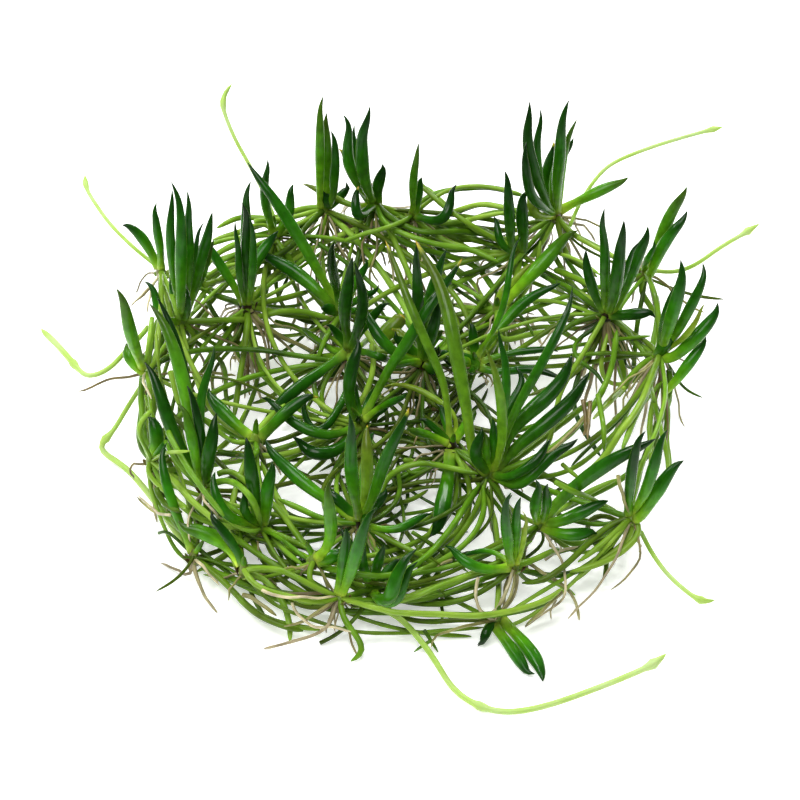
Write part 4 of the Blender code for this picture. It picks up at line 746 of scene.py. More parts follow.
# The same on the wall of the ring: node, kind, tone, which side of the ring, distance from its middle at
# both ends, width and course
WALL_STRANDS = [
    ("rosette_left_low", "stolon", "l", "front", 37, 37, 0.6,
     [(150, 412), (141, 420), (138, 430), (141, 441), (147, 450), (148, 459)]),
    ("rosette_left_low", "stolon", "l", "front", 36, 36, 0.7,
     [(148, 459), (144, 465), (148, 474), (157, 484), (166, 492), (176, 500), (186, 508)]),
    ("rosette_left_low", "stolon", "l", "front", 35, 34, 0.55, [(157, 452), (175, 452), (190, 451)]),
    ("rosette_left_low", "stolon", "m", "front", 33, 33, 0.8,
     [(168, 432), (180, 455), (192, 474), (204, 491), (214, 504), (224, 516)]),
    ("rosette_left_low", "stolon", "l", "front", 34, 34, 0.85,
     [(165, 460), (177, 481), (188, 497), (200, 508), (212, 518), (224, 532)]),
    ("rosette_left_low", "stolon", "m", "front", 33, 33, 0.7,
     [(166, 442), (173, 456), (186, 472), (199, 489), (213, 502)]),
    ("rosette_left_low", "root", "p", "front", 37, 38, 0.42, [(170, 515), (158, 513), (147, 504), (138, 495)]),
    ("rosette_left_front", "root", "p", "front", 37, 36, 0.38, [(190, 500), (188, 516), (189, 535), (191, 550)]),
    ("rosette_left_front_inner", "root", "p", "front", 34, 35, 0.4, [(188, 485), (200, 496), (211, 507), (223, 519)]),
    ("rosette_left_front", "stolon", "k", "front", 37, 36, 0.45, [(159, 533), (165, 531), (174, 534), (184, 541)]),
    ("rosette_left_low", "stolon", "k", "front", 37, 36, 0.8, [(156, 488), (160, 499), (170, 508), (182, 512)]),
    ("rosette_left_front_inner", "stolon", "m", "front", 24, 24, 0.65, [(200, 417), (214, 428), (230, 440), (245, 446)]),
    ("rosette_inner_left", "stolon", "k", "front", 22, 22, 0.8, [(218, 452), (245, 456), (267, 454)]),
    ("rosette_left_front_inner", "stolon", "m", "front", 28, 30, 0.85,
     [(213, 473), (228, 479), (241, 487), (254, 500), (268, 515), (280, 525)]),
    ("rosette_left_front_inner", "stolon", "m", "front", 30, 30, 0.7,
     [(214, 497), (226, 505), (240, 513), (255, 520), (272, 524)]),
    ("rosette_front_left_upper", "stolon", "m", "front", 30, 30, 0.6, [(222, 519), (240, 528), (258, 535), (276, 540)]),
    ("rosette_front_left", "root", "p", "front", 37, 36, 0.45, [(262, 590), (275, 596), (297, 597), (315, 596), (331, 592)]),
    ("rosette_front_left", "stolon", "m", "front", 34, 34, 0.8,
     [(248, 552), (262, 560), (280, 568), (300, 579), (318, 588), (333, 592)]),
    ("rosette_front", "stolon", "m", "front", 36, 37, 0.75,
     [(232, 581), (256, 588), (280, 594), (300, 599), (325, 606), (350, 609)]),
    ("rosette_front", "stolon", "l", "front", 37, 37, 0.75,
     [(345, 609), (375, 610), (400, 613), (440, 614), (475, 616), (505, 612), (530, 606), (550, 598), (562, 588)]),
    ("rosette_front", "stolon", "m", "front", 33, 33, 0.7, [(306, 564), (307, 578), (314, 588), (330, 594)]),
    ("rosette_front", "root", "p", "front", 37, 37, 0.48, [(292, 603), (298, 616), (310, 625), (330, 628), (350, 632)]),
    ("rosette_front", "root", "o", "front", 37, 37, 0.5, [(335, 602), (322, 609), (305, 620), (284, 627)]),
    ("rosette_front", "stolon", "k", "front", 36, 35, 0.55, [(320, 643), (331, 638), (345, 628), (358, 619), (370, 606)]),
    ("rosette_front", "stolon", "m", "front", 35, 35, 0.75,
     [(221, 578), (232, 590), (245, 603), (262, 616), (285, 624), (320, 630)]),
    ("rosette_front_left", "stolon", "k", "front", 33, 33, 0.6, [(238, 585), (250, 597), (262, 612), (268, 622)]),
    ("rosette_front_left", "root", "o", "front", 36, 36, 0.7, [(243, 595), (256, 600), (268, 607), (275, 615)]),
    ("rosette_front_left", "stolon", "m", "front", 33, 34, 0.8,
     [(200, 565), (215, 575), (232, 581), (252, 586), (270, 592)]),
    ("rosette_left_front", "root", "p", "front", 37, 37, 0.5, [(203, 568), (212, 577), (219, 586)]),
    ("rosette_front_right", "stolon", "l", "front", 32, 30, 0.7,
     [(395, 602), (415, 597), (430, 590), (450, 582), (470, 575), (485, 572), (500, 571)]),
    ("rosette_front_right", "root", "p", "front", 33, 36, 0.5, [(512, 572), (508, 585), (503, 597), (495, 608), (484, 618)]),
    ("rosette_front_right", "root", "o", "front", 33, 36, 0.5, [(519, 572), (517, 587), (510, 598), (500, 608), (489, 621)]),
    ("rosette_front_right", "root", "p", "front", 32, 35, 0.5, [(478, 578), (475, 592), (477, 606), (485, 614), (496, 611)]),
    ("rosette_front_bottom", "leaf", "d", "front", 36, 37, 1.2, [(484, 618), (485, 632), (481, 646)]),
    ("rosette_front_right", "root", "o", "front", 36, 37, 0.5, [(475, 615), (465, 622), (450, 630), (437, 634), (431, 647)]),
    ("rosette_front_right", "stolon", "k", "front", 35, 37, 0.55, [(424, 630), (432, 642), (438, 652)]),
    ("rosette_front_right", "stolon", "k", "front", 36, 37, 0.5, [(432, 640), (423, 645), (414, 652)]),
    ("rosette_front_right", "stolon", "k", "front", 29, 31, 0.4, [(432, 588), (441, 590), (447, 597)]),
    ("rosette_front_middle", "stolon", "k", "front", 25, 28, 0.4, [(424, 554), (436, 560), (441, 566)]),
    ("rosette_front_right", "root", "o", "front", 26, 27, 0.45, [(452, 560), (441, 566), (429, 570)]),
    ("rosette_front_middle", "stolon", "k", "front", 22, 26, 0.55, [(412, 532), (437, 548), (452, 560), (468, 572)]),
    ("rosette_front_middle", "stolon", "k", "front", 25, 27, 0.5, [(405, 552), (424, 572), (441, 587)]),
    ("rosette_front_right", "root", "p", "front", 30, 32, 0.5, [(545, 560), (555, 553), (566, 549), (578, 546)]),
    ("rosette_right_front", "root", "o", "front", 37, 37, 0.55, [(562, 592), (551, 602), (540, 612), (525, 627)]),
    ("rosette_right_front", "root", "p", "front", 37, 37, 0.35, [(556, 600), (551, 612), (550, 620)]),
    ("rosette_front_right", "stolon", "l", "front", 31, 34, 0.7, [(526, 558), (537, 570), (550, 580), (563, 586), (575, 595)]),
    ("rosette_front_right", "stolon", "m", "front", 30, 30, 0.6, [(516, 580), (530, 583), (548, 581)]),
    ("rosette_right", "stolon", "l", "front", 36, 30, 0.85,
     [(655, 358), (650, 380), (641, 402), (630, 420), (620, 432), (611, 448), (602, 460), (588, 472), (577, 484)]),
    ("rosette_right", "stolon", "m", "front", 35, 35, 0.85, [(652, 372), (646, 395), (636, 415), (629, 432), (622, 450)]),
    ("rosette_right", "stolon", "l", "front", 38, 36, 0.6,
     [(669, 375), (668, 392), (662, 412), (656, 432), (648, 450), (640, 470), (635, 490), (634, 505)]),
    ("rosette_right", "stolon", "l", "front", 38, 38, 0.7,
     [(650, 385), (655, 405), (660, 425), (664, 442), (668, 462), (667, 478)]),
    ("rosette_right_inner", "root", "o", "front", 26, 24, 0.65, [(590, 408), (578, 428), (560, 442), (545, 452)]),
    ("rosette_right_inner", "root", "b", "front", 30, 30, 0.7, [(583, 400), (585, 418), (585, 435)]),
    ("rosette_right_inner", "root", "b", "front", 30, 30, 0.6, [(590, 402), (589, 420), (588, 438)]),
    ("rosette_right_inner", "stolon", "l", "front", 31, 31, 0.6, [(624, 388), (611, 401), (601, 411), (593, 419)]),
    ("rosette_right_inner", "stolon", "m", "front", 31, 31, 0.7, [(598, 395), (601, 412), (604, 430), (604, 452)]),
    ("rosette_front_right_inner", "stolon", "m", "front", 26, 30, 0.6, [(562, 464), (572, 473), (584, 482)]),
    ("rosette_right_front", "stolon", "m", "front", 30, 33, 0.7, [(555, 482), (572, 491), (590, 498), (605, 506)]),
    ("rosette_right_front", "root", "o", "front", 36, 36, 0.55, [(618, 476), (620, 490), (618, 505)]),
    ("rosette_right_front", "leaf", "d", "front", 37, 37, 1.0, [(636, 512), (635, 522), (631, 533)]),
    ("rosette_right_front", "stolon", "l", "front", 37, 36, 0.9, [(641, 520), (636, 532), (626, 543), (612, 553), (598, 562)]),
    ("rosette_right_front", "stolon", "m", "front", 36, 35, 0.8, [(622, 528), (607, 540), (592, 552), (578, 562)]),
    ("rosette_right_inner", "stolon", "m", "back", 34, 32, 0.9, [(556, 270), (580, 280), (600, 292), (612, 300)]),
    ("rosette_right_inner", "stolon", "l", "back", 34, 32, 0.8, [(556, 286), (582, 294), (602, 304)]),
    ("rosette_right_inner", "stolon", "l", "back", 35, 35, 0.55, [(560, 254), (580, 261), (600, 275)]),
    ("rosette_right_back", "stolon", "l", "back", 37, 38, 0.65, [(578, 238), (598, 249), (614, 257), (628, 266)]),
    ("rosette_right_back", "stolon", "m", "back", 38, 37, 0.8, [(641, 273), (650, 285), (656, 300), (658, 318), (656, 336)]),
    ("rosette_back_small", "stolon", "l", "back", 37, 37, 0.6,
     [(420, 197), (432, 192), (455, 187), (480, 186), (505, 190), (522, 194)]),
    ("rosette_back_small", "stolon", "l", "back", 36, 36, 0.7, [(450, 213), (470, 206), (486, 204), (508, 209)]),
    ("rosette_back_small", "stolon", "l", "back", 35, 35, 0.7, [(460, 223), (480, 217), (508, 212)]),
    ("rosette_back_middle", "stolon", "m", "back", 34, 34, 0.85,
     [(405, 214), (440, 222), (470, 226), (495, 232), (510, 239)]),
    ("rosette_back_middle", "stolon", "m", "back", 33, 33, 0.85, [(405, 220), (440, 230), (470, 238), (493, 245)]),
    ("rosette_back_middle", "stolon", "m", "back", 32, 31, 0.8, [(410, 229), (435, 238), (460, 246), (480, 252)]),
    ("rosette_back_small", "stolon", "w", "back", 31, 31, 0.75,
     [(422, 186), (440, 203), (460, 218), (480, 232), (500, 246)]),
    ("rosette_back_small", "root", "o", "back", 32, 32, 0.45, [(430, 228), (450, 240), (472, 251)]),
    ("rosette_back_left", "stolon", "l", "back", 36, 36, 0.7, [(255, 221), (290, 218), (320, 209)]),
    ("rosette_back_left", "stolon", "l", "back", 35, 35, 0.8, [(262, 240), (285, 231), (303, 222), (325, 209)]),
    ("rosette_back_left", "stolon", "l", "back", 37, 37, 0.6, [(240, 231), (258, 224), (285, 222)]),
    ("rosette_back_middle", "stolon", "m", "back", 34, 33, 0.85, [(362, 210), (382, 222), (402, 232), (420, 236)]),
    ("rosette_back_middle", "stolon", "m", "back", 30, 30, 0.7, [(345, 241), (370, 232), (395, 230), (418, 238)]),
    ("rosette_left_back", "stolon", "l", "back", 37, 36, 0.6, [(212, 244), (228, 239), (245, 236), (262, 232)]),
    ("rosette_left_back", "stolon", "l", "back", 36, 35, 0.6, [(222, 261), (238, 253), (255, 247), (272, 243)]),
    ("rosette_left_inner", "stolon", "l", "back", 33, 34, 0.6,
     [(206, 277), (218, 269), (236, 264), (255, 259), (275, 250)]),
    ("rosette_left_inner", "stolon", "m", "back", 31, 34, 0.9,
     [(205, 285), (225, 279), (248, 274), (270, 268), (290, 258), (310, 244)]),
    ("rosette_left_inner", "stolon", "m", "back", 29, 33, 0.7,
     [(255, 292), (272, 281), (290, 270), (305, 258), (318, 246)]),
    ("rosette_left_inner", "stolon", "l", "back", 28, 30, 0.6, [(258, 300), (275, 292), (292, 282), (305, 272)]),
    ("rosette_left_outer", "stolon", "l", "front", 36, 36, 0.75,
     [(161, 290), (161, 310), (158, 335), (157, 362), (160, 385)]),
    ("rosette_left_back", "stolon", "l", "front", 34, 34, 0.8, [(176, 290), (177, 310), (177, 332)]),
    ("rosette_left", "stolon", "l", "front", 36, 36, 0.65, [(152, 318), (149, 340), (145, 360)]),
    ("rosette_left", "stolon", "l", "front", 36, 35, 0.45, [(156, 335), (158, 360), (162, 387), (166, 402)]),
    ("rosette_left", "stolon", "m", "front", 36, 36, 0.7, [(149, 372), (150, 394), (152, 416)]),
    ("rosette_left_back", "stolon", "l", "front", 33, 33, 0.8, [(171, 372), (175, 390), (180, 408)]),
    ("rosette_left", "root", "p", "front", 37, 37, 0.4, [(142, 376), (144, 386), (149, 398)]),
    ("rosette_left_outer", "root", "p", "front", 37, 37, 0.35, [(152, 286), (143, 295), (133, 306)]),
    ("rosette_left_outer", "root", "p", "front", 36, 36, 0.45, [(151, 290), (147, 300), (147, 312)]),
]


# Looks of a leaf: how bright it is, how far down its dry tip reaches, how yellow, and how blunt
LEAF_LOOKS = {
    "b": (0.95, 0.0, 0.15, 0.0),
    "m": (0.50, 0.0, 0.0, 0.0),
    "d": (0.12, 0.0, 0.0, 0.0),
    "t": (0.22, 0.06, 0.0, 0.0),
    "s": (0.45, 0.07, 0.25, 0.0),
    "v": (1.3, 0.0, 0.35, 0.0),
    "o": (0.42, 0.03, 0.45, 0.0),
    "y": (0.62, 0.12, 0.2, 0.0),
    "p": (0.95, 0.03, 0.75, 0.0),
    "c": (0.42, 0.05, 0.45, 1.0),
    "u": (0.8, 0.0, 0.1, 1.0),
}


def view_axes():
    """Across, up and forward directions of the view, and the place it is seen from."""
    forward = np.array([0.0, math.cos(VIEW_RISE), -math.sin(VIEW_RISE)])
    up = np.array([0.0, math.sin(VIEW_RISE), math.cos(VIEW_RISE)])
    return np.array([1.0, 0.0, 0.0]), up, forward, VIEW_AIM - VIEW_DISTANCE * forward


def placed(picture, heights):
    """Points where the lines of sight through picture points reach the given heights."""
    across, up, forward, eye = view_axes()
    offset = (np.asarray(picture, float) - VIEW_MIDDLE) / (POINTS_PER_MM * VIEW_DISTANCE)
    lines = forward + offset[:, :1] * across - offset[:, 1:] * up
    return eye + lines * ((np.asarray(heights, float) - eye[2]) / lines[:, 2])[:, None]


def filled_heights(course, start, end):
    """Heights along a course: those that its points give, and a straight rise between them."""
    picture = np.array([point[:2] for point in course], float)
    along = np.concatenate([[0.0], np.cumsum(np.linalg.norm(np.diff(picture, axis=0), axis=1))])
    known = [(0.0, start)]
    known += [(along[i], point[2]) for i, point in enumerate(course) if len(point) == 3]
    known.append((along[-1], end))
    places, values = zip(*known)
    return picture, along / along[-1], np.interp(along, places, values)


def smooth_course(points, step):
    """A curve through the points (Catmull and Rom's), read at equal steps along its length."""
    ends = np.vstack([2 * points[0] - points[1], points, 2 * points[-1] - points[-2]])
    t = np.linspace(0, 1, 9)[:-1][:, None]
    stretches = []
    for a, b, c, d in zip(ends, ends[1:], ends[2:], ends[3:]):
        stretches.append(
            0.5 * (2 * b + (c - a) * t + (2 * a - 5 * b + 4 * c - d) * t**2 + (3 * b - a - 3 * c + d) * t**3)
        )
    curve = np.vstack(stretches + [points[-1:]])
    along = np.concatenate([[0.0], np.cumsum(np.linalg.norm(np.diff(curve, axis=0), axis=1))])
    count = max(5, int(round(along[-1] / step)) + 1)
    at = np.linspace(0, along[-1], count)
    return np.stack([np.interp(at, along, curve[:, k]) for k in range(3)], axis=1)


def leaf_width(s):
    """Share of a leaf's greatest width at a share s of its length: narrow base, full middle, fine tip."""
    swell = LEAF_BASE + (1 - LEAF_BASE) * np.sin(np.clip(s / 0.45, 0, 1) * math.pi / 2)
    return swell * np.sqrt(np.clip(1 - np.clip((s - 0.3) / 0.7, 0, 1) ** 2.2, 0.004, 1))


def stem_width(s):
    """A stem keeps its width and rounds off over its last few hundredths."""
    return np.sqrt(np.clip(1 - np.clip((np.abs(2 * s - 1) - 0.94) / 0.06, 0, 1) ** 2, 0.2, 1))


def root_width(s):
    """A root narrows slowly to a blunt end."""
    return (1 - 0.35 * s) * np.sqrt(np.clip(1 - np.clip((s - 0.93) / 0.07, 0, 1) ** 2, 0.2, 1))


WIDTHS = {"leaf": leaf_width, "stolon": stem_width, "runner": stem_width, "root": root_width}


class Strand:
    """One leaf, stem or root: its plant, kind, centreline and half widths, and whether a crown bears it."""

    def __init__(self, plant, kind, points, width, from_crown=True, look=""):
        self.plant = plant
        self.kind = kind
        self.points = points
        self.width = width
        self.from_crown = from_crown
        self.look = look
        self.radius = 0.5 * width * WIDTHS[kind](np.linspace(0, 1, len(points)))


def crown_place(crown):
    return placed([crown[:2]], [crown[2]])[0]


def leaf_strands(name, plant):
    """Leaves leave the crown steeply and level off towards their tips."""
    crown = plant["crown"]
    for tip_height, width, look, course in plant["leaves"]:
        base = course[0] if len(course[0]) == 3 else crown
        rest = [point[:2] for point in course if len(point) == 2]
        picture, share, _ = filled_heights([base[:2]] + rest, 0, 1)
        rise = share + 0.1 * np.sin(math.pi * share)
        points = placed(picture, base[2] + (tip_height - base[2]) * rise)
        yield Strand(name, "leaf", smooth_course(points, STRAND_STEP), width, base is crown, look)


def stem_strands(name, plant):
    crown = plant["crown"]
    for end, course in plant["stolons"]:
        picture, _, heights = filled_heights([crown[:2]] + course, crown[2], end)
        yield Strand(name, "stolon", smooth_course(placed(picture, heights), STRAND_STEP), STOLON_WIDTH)
    for end, width, course in plant.get("roots", []):
        picture, _, heights = filled_heights([crown[:2]] + course, crown[2], end)
        yield Strand(name, "root", smooth_course(placed(picture, heights), STRAND_STEP), width)


def hanging_roots(name, plant, first):
    """Roots that leave the under side of a crown, spread by the golden angle and end on the ground."""
    crown = crown_place(plant["crown"])
    for i in range(plant["hanging"]):
        turn = (first + i) * math.radians(137.5)
        reach = crown[2] * (0.25 + 0.3 * ((first + i) % 3) / 2)
        away = np.array([math.cos(turn), math.sin(turn), 0.0])
        foot = crown + away * reach
        foot[2] = 0.5 * ROOT_WIDTH
        middle = 0.5 * (crown + foot) + away * 0.25 * reach
        middle[2] = crown[2] * 0.45
        near = crown + away * 0.6
        points = smooth_course(np.array([crown, near - [0, 0, 1.0], middle, foot]), STRAND_STEP)
        yield Strand(name, "root", points, ROOT_WIDTH)


def long_stem(name, kind, start, end, width, course):
    picture, _, heights = filled_heights(course, start, end)
    return Strand(name, kind, smooth_course(placed(picture, heights), STRAND_STEP), width, False)


def solid_strands():
    """The strands that the construction holds, in its own order."""
    strands = []
    for first, (name, plant) in enumerate(ROSETTES.items()):
        strands += leaf_strands(name, plant)
        strands += stem_strands(name, plant)
        strands += hanging_roots(name, plant, 3 * first)
    for name, (start, end, course) in STOLONS.items():
        strands.append(long_stem(name, "stolon", start, end, STOLON_WIDTH, course))
    for name, (start, end, course) in RUNNERS.items():
        strands.append(long_stem(name, "runner", start, end, RUNNER_WIDTH, course))
    return strands


def near_pairs(flat, reach):
    """Pairs of points nearer in the picture than the sum of their reaches, as two index arrays."""
    first, second = [], []
    for start in range(0, len(flat), 400):
        block = flat[start : start + 400]
        apart = np.linalg.norm(block[:, None] - flat[None], axis=2)
        i, j = np.nonzero(apart < reach[start : start + 400, None] + reach[None])
        keep = i + start < j
        first.append(i[keep] + start)
        second.append(j[keep])
    return np.concatenate(first), np.concatenate(second)


def nearest(points, homes):
    """How far each point is from the nearest of a plant's crown and the joints of its stem leaves."""
    return np.min([np.linalg.norm(points - home, axis=1) for home in homes], axis=0)


def slide_apart(strands, settled=0, rounds=SLIDE_ROUNDS, ground=GROUND_GAP):
    """Slides points along their lines of sight until strands clear each other and the ground.

    Two strands keep the order in which they pass, from the mean of their depths where they meet.
    A strand's slides are smoothed along it, and are held back near its own crown. The first settled
    strands don't move.
    """
    across, up, forward, eye = view_axes()
    crowns = list(ROSETTES)
    crown_points = [[crown_place(plant["crown"])] for plant in ROSETTES.values()]
    points = np.concatenate([s.points for s in strands] + crown_points)
    radius = np.concatenate([s.radius for s in strands] + [np.full(len(crowns), CROWN_RADIUS)])
    owner = np.concatenate([np.full(len(s.points), k) for k, s in enumerate(strands)]
                           + [np.arange(len(crowns)) + len(strands)])
    plants = [s.plant for s in strands] + crowns
    names = sorted(set(plants))
    plant = np.array([names.index(name) for name in plants])[owner]
    home = {name: [crown_place(ROSETTES[name]["crown"])] for name in crowns}
    for strand in strands[:settled] if settled else strands:
        if strand.plant in home and not strand.from_crown:
            home[strand.plant].append(strand.points[0])
    from_crown = [nearest(s.points, home.get(s.plant, [NO_CROWN])) for s in strands]
    from_crown = np.concatenate(from_crown + [np.zeros(len(crowns))])
    from_start = [STRAND_STEP * np.arange(len(s.points)) for s in strands]
    from_start = np.concatenate(from_start + [np.zeros(len(crowns))])
    freedom = np.clip((from_crown - HELD_FAST) / COMES_FREE, 0, 1)
    freedom = freedom * freedom * (3 - 2 * freedom)
    freedom[owner < settled] = 0.0

    lines = points - eye
    depth = np.linalg.norm(lines, axis=1)
    lines /= depth[:, None]
    flat = np.stack([lines @ across, lines @ up], axis=1) / (lines @ forward)[:, None] * VIEW_DISTANCE
    reach = radius + 0.5 * CLEARANCE
    i, j = near_pairs(flat, reach)
    same_plant = plant[i] == plant[j]
    may_touch = np.maximum(from_crown[i], from_crown[j]) < TOUCH_AT_CROWN
    may_touch |= np.minimum(from_start[i], from_start[j]) < TOUCH_AT_START
    may_touch |= radius[j] == CROWN_RADIUS
    kept_apart = (owner[i] != owner[j]) & ~(same_plant & may_touch)
    i, j, same_plant = i[kept_apart], j[kept_apart], same_plant[kept_apart]
    beside = np.linalg.norm(flat[i] - flat[j], axis=1)
    wanted = reach[i] + reach[j] - np.where(same_plant, 0.5 * CLEARANCE, 0.0)
    need = np.sqrt(np.clip(wanted**2 - beside**2, 0, None))

    pair = owner[i] * (owner.max() + 1) + owner[j]
    _, group = np.unique(pair, return_inverse=True)
    group = group.reshape(-1)
    lean = np.bincount(group, weights=(depth[j] - depth[i]) * need)
    order = np.where(lean < 0, -1.0, 1.0)[group]
    share_i = freedom[i] / np.maximum(freedom[i] + freedom[j], 1e-6)
    share_j = freedom[j] / np.maximum(freedom[i] + freedom[j], 1e-6)

    starts = np.concatenate([[0], np.cumsum([len(s.points) for s in strands])])
    inside = np.ones(len(points), bool)
    inside[starts[1:] - 1] = False
    inside[starts[:-1]] = False
    inside[starts[-1] :] = False
    free = inside & (freedom > 0)
    slide = np.zeros(len(points))
    deepest = (radius + ground - eye[2]) / lines[:, 2] - depth
    deepest[owner < settled] = 0.0
    for turn in range(rounds):
        short = np.clip(need - order * (depth[j] + slide[j] - depth[i] - slide[i]), 0, None)
        active = short > 0
        push = np.bincount(j, order * short * share_j, len(points))
        push -= np.bincount(i, order * short * share_i, len(points))
        count = np.bincount(j, active * share_j, len(points))
        count += np.bincount(i, active * share_i, len(points))
        slide += push / np.maximum(count, 1.0)
        if turn < rounds - LAST_ROUNDS or turn % 3 == 0:
            for _ in range(2):
                middle = 0.25 * (np.roll(slide, 1) + np.roll(slide, -1)) + 0.5 * slide
                slide = np.where(free, middle, slide)
        slide = np.minimum(slide, deepest)
    moved = points + slide[:, None] * lines
    for k, strand in enumerate(strands):
        if k >= settled:
            strand.points = moved[starts[k] : starts[k + 1]]


def wandering(count, seed, amount):
    """A slow random wander along count steps: four sine waves with random phases, each weaker than the last."""
    random = np.random.default_rng(seed)
    s = np.linspace(0, 1, count)[:, None]
    waves = np.arange(1, 5)[None]
    phase = random.uniform(0, 2 * math.pi, (1, 4))
    size = random.normal(0, 1, (1, 4)) / waves
    return amount * (size * np.sin(2 * math.pi * waves * s * 0.8 + phase)).sum(1)


def wall_course(side, start, end, course):
    """Points where the lines of sight meet a round wall about the middle of the ring.

    The wall's distance from the middle runs evenly from start to end along the course. A line that misses
    it takes its nearest point, and the heights are then those of a parabola fitted through all of them.
    """
    across, up, forward, eye = view_axes()
    offset = (np.array(course, float) - VIEW_MIDDLE) / (POINTS_PER_MM * VIEW_DISTANCE)
    lines = forward + offset[:, :1] * across - offset[:, 1:] * up
    along = np.concatenate([[0.0], np.cumsum(np.linalg.norm(np.diff(offset, axis=0), axis=1))])
    wall = start + (end - start) * along / along[-1]
    away = eye[:2] - RING_MIDDLE
    a = (lines[:, :2] ** 2).sum(1)
    b = lines[:, :2] @ away
    root = np.sqrt(np.clip(b * b - a * (away @ away - wall**2), 0, None))
    t = (-b - root if side == "front" else -b + root) / a
    height = eye[2] + t * lines[:, 2]
    if len(course) > 3:
        height = np.polyval(np.polyfit(along, height, 2), along)
    height = np.clip(height, 0.9, WALL_TOP)
    return eye + lines * ((height - eye[2]) / lines[:, 2])[:, None]


def woven_stems(seed=7):
    """Thin stolons that tie the crowns together, round the ring and across it.

    Each leaves a crown and follows an arc about the middle of the ring to near another crown: its bearing
    and its distance from the middle run evenly from one to the other, with a slow wave added, and its
    height sags between them.
    """
    random = np.random.default_rng(seed)
    names = list(ROSETTES)
    places = np.array([crown_place(ROSETTES[name]["crown"]) for name in names])
    flat = places[:, :2] - RING_MIDDLE
    far = np.linalg.norm(flat, axis=1)
    bearing = np.arctan2(flat[:, 1], flat[:, 0])
    strands = []
    for k, name in enumerate(names):
        turn = (bearing - bearing[k] + math.pi) % (2 * math.pi) - math.pi
        gap = np.linalg.norm(places - places[k], axis=1)
        near = [j for j in np.argsort(gap) if 9.0 < gap[j] < WEAVE_REACH and abs(turn[j]) < 1.4]
        count = WEAVE_RING if far[k] > 26 else WEAVE_INNER
        chosen = random.choice(near, min(count, len(near)), replace=False)
        for j in chosen:
            s = np.linspace(0, 1, 7)
            out = far[k] + (far[j] - far[k]) * s + random.normal(0, 1.6) * np.sin(math.pi * s)
            out = out + random.normal(0, 0.7) * np.sin(2 * math.pi * s)
            out = np.minimum(out, RING_OUTSIDE)
            angle = bearing[k] + turn[j] * (1.0 - random.uniform(0.02, 0.12)) * s
            height = places[k, 2] + (places[j, 2] - places[k, 2]) * s
            sag = random.uniform(0.0, 0.6) * min(places[k, 2], places[j, 2])
            height = height - sag * np.sin(math.pi * s) - random.uniform(0.2, 2.5) * s
            height = np.maximum(height, 0.6)
            points = np.stack([RING_MIDDLE[0] + out * np.cos(angle), RING_MIDDLE[1] + out * np.sin(angle),
                               height], axis=1)
            points[0] = places[k] + [0, 0, -0.3]
            strands.append(Strand(name, "stolon", smooth_course(points, STRAND_STEP),
                                  random.uniform(*WEAVE_WIDTH), look="w"))
    return strands


def tangled_stems(seed=23):
    """Thin dark stems low down under the crowns: each drops from a crown and runs on in slow bends.

    Its bearing is a start angle plus a slow wave, and its height falls with the square root of its length.
    """
    random = np.random.default_rng(seed)
    strands = []
    for name, plant in ROSETTES.items():
        crown = crown_place(plant["crown"])
        offset = RING_MIDDLE - crown[:2]
        for k in range(TANGLED.get(name, 2)):
            bearing = math.atan2(offset[1], offset[0]) + random.normal(0, 0.9)
            length = random.uniform(12.0, 26.0)
            s = np.linspace(0, 1, 9)
            turned = bearing + random.normal(0, 0.9) * s + random.normal(0, 0.5) * np.sin(2 * math.pi * s)
            steps = np.stack([np.cos(turned), np.sin(turned)], axis=1) * length / 8
            flat = crown[:2] + np.cumsum(steps, axis=0) - steps[0]
            low = random.uniform(0.7, 0.65 * crown[2])
            height = crown[2] - 0.4 + (low - crown[2]) * np.sqrt(s) + random.normal(0, 0.7) * np.sin(math.pi * s)
            points = np.column_stack([flat, np.maximum(height, 0.7)])
            strands.append(Strand(name, "stolon", smooth_course(points, STRAND_STEP),
                                  random.uniform(0.42, 0.7), look="k"))
    return strands


def young_leaves(seed=11):
    """Small dark leaves among the large ones: each arches out of its crown and rises to a fine tip."""
    random = np.random.default_rng(seed)
    strands = []
    for name, plant in ROSETTES.items():
        crown = crown_place(plant["crown"])
        inward = np.append(RING_MIDDLE - crown[:2], 0.0)
        inward /= max(np.linalg.norm(inward), 1e-6)
        for k in range(YOUNG_LEAVES.get(name, 0)):
            turn = math.radians(137.5) * k + random.uniform(0, 0.8)
            away = np.array([math.cos(turn), math.sin(turn), 0.0]) + 0.5 * inward
            length = random.uniform(5.0, 11.0)
            rise = random.uniform(0.35, 1.0)
            s = np.array([0, 0.3, 0.65, 1.0])[:, None]
            points = crown + away * length * 0.6 * s + np.array([0, 0, 1.0]) * length * rise * s**0.8
            points[:, 2] = np.maximum(points[:, 2], 0.8)
            look = "dddmdb"[random.integers(0, 6)]
            strands.append(Strand(name, "leaf", smooth_course(points, STRAND_STEP),
                                  random.uniform(0.9, 1.5), look=look))
    return strands


def led_in(points):
    """The course with each end that passes near a crown, as the view has it, led into that crown.

    The shift is whole at the end and fades with the square of what is left of a fixed length.
    """
    across, up, forward, eye = view_axes()
    crowns = np.array([crown_place(plant["crown"]) for plant in ROSETTES.values()])
    seen = [np.stack([p @ across, p @ up], axis=1) / (p @ forward)[:, None] * VIEW_DISTANCE
            for p in (crowns - eye, points[[0, -1]] - eye)]
    steps = np.linalg.norm(np.diff(points, axis=0), axis=1)
    from_start = np.concatenate([[0.0], np.cumsum(steps)])
    moved = points.copy()
    for k, along in ((0, from_start), (-1, from_start[-1] - from_start)):
        gap = np.linalg.norm(seen[0] - seen[1][k], axis=1)
        if gap.min() < CROWN_CATCH:
            fade = np.clip(1 - along / min(CATCH_LENGTH, 0.6 * from_start[-1]), 0, 1) ** 2
            moved = moved + fade[:, None] * (crowns[gap.argmin()] - points[k])
    return moved


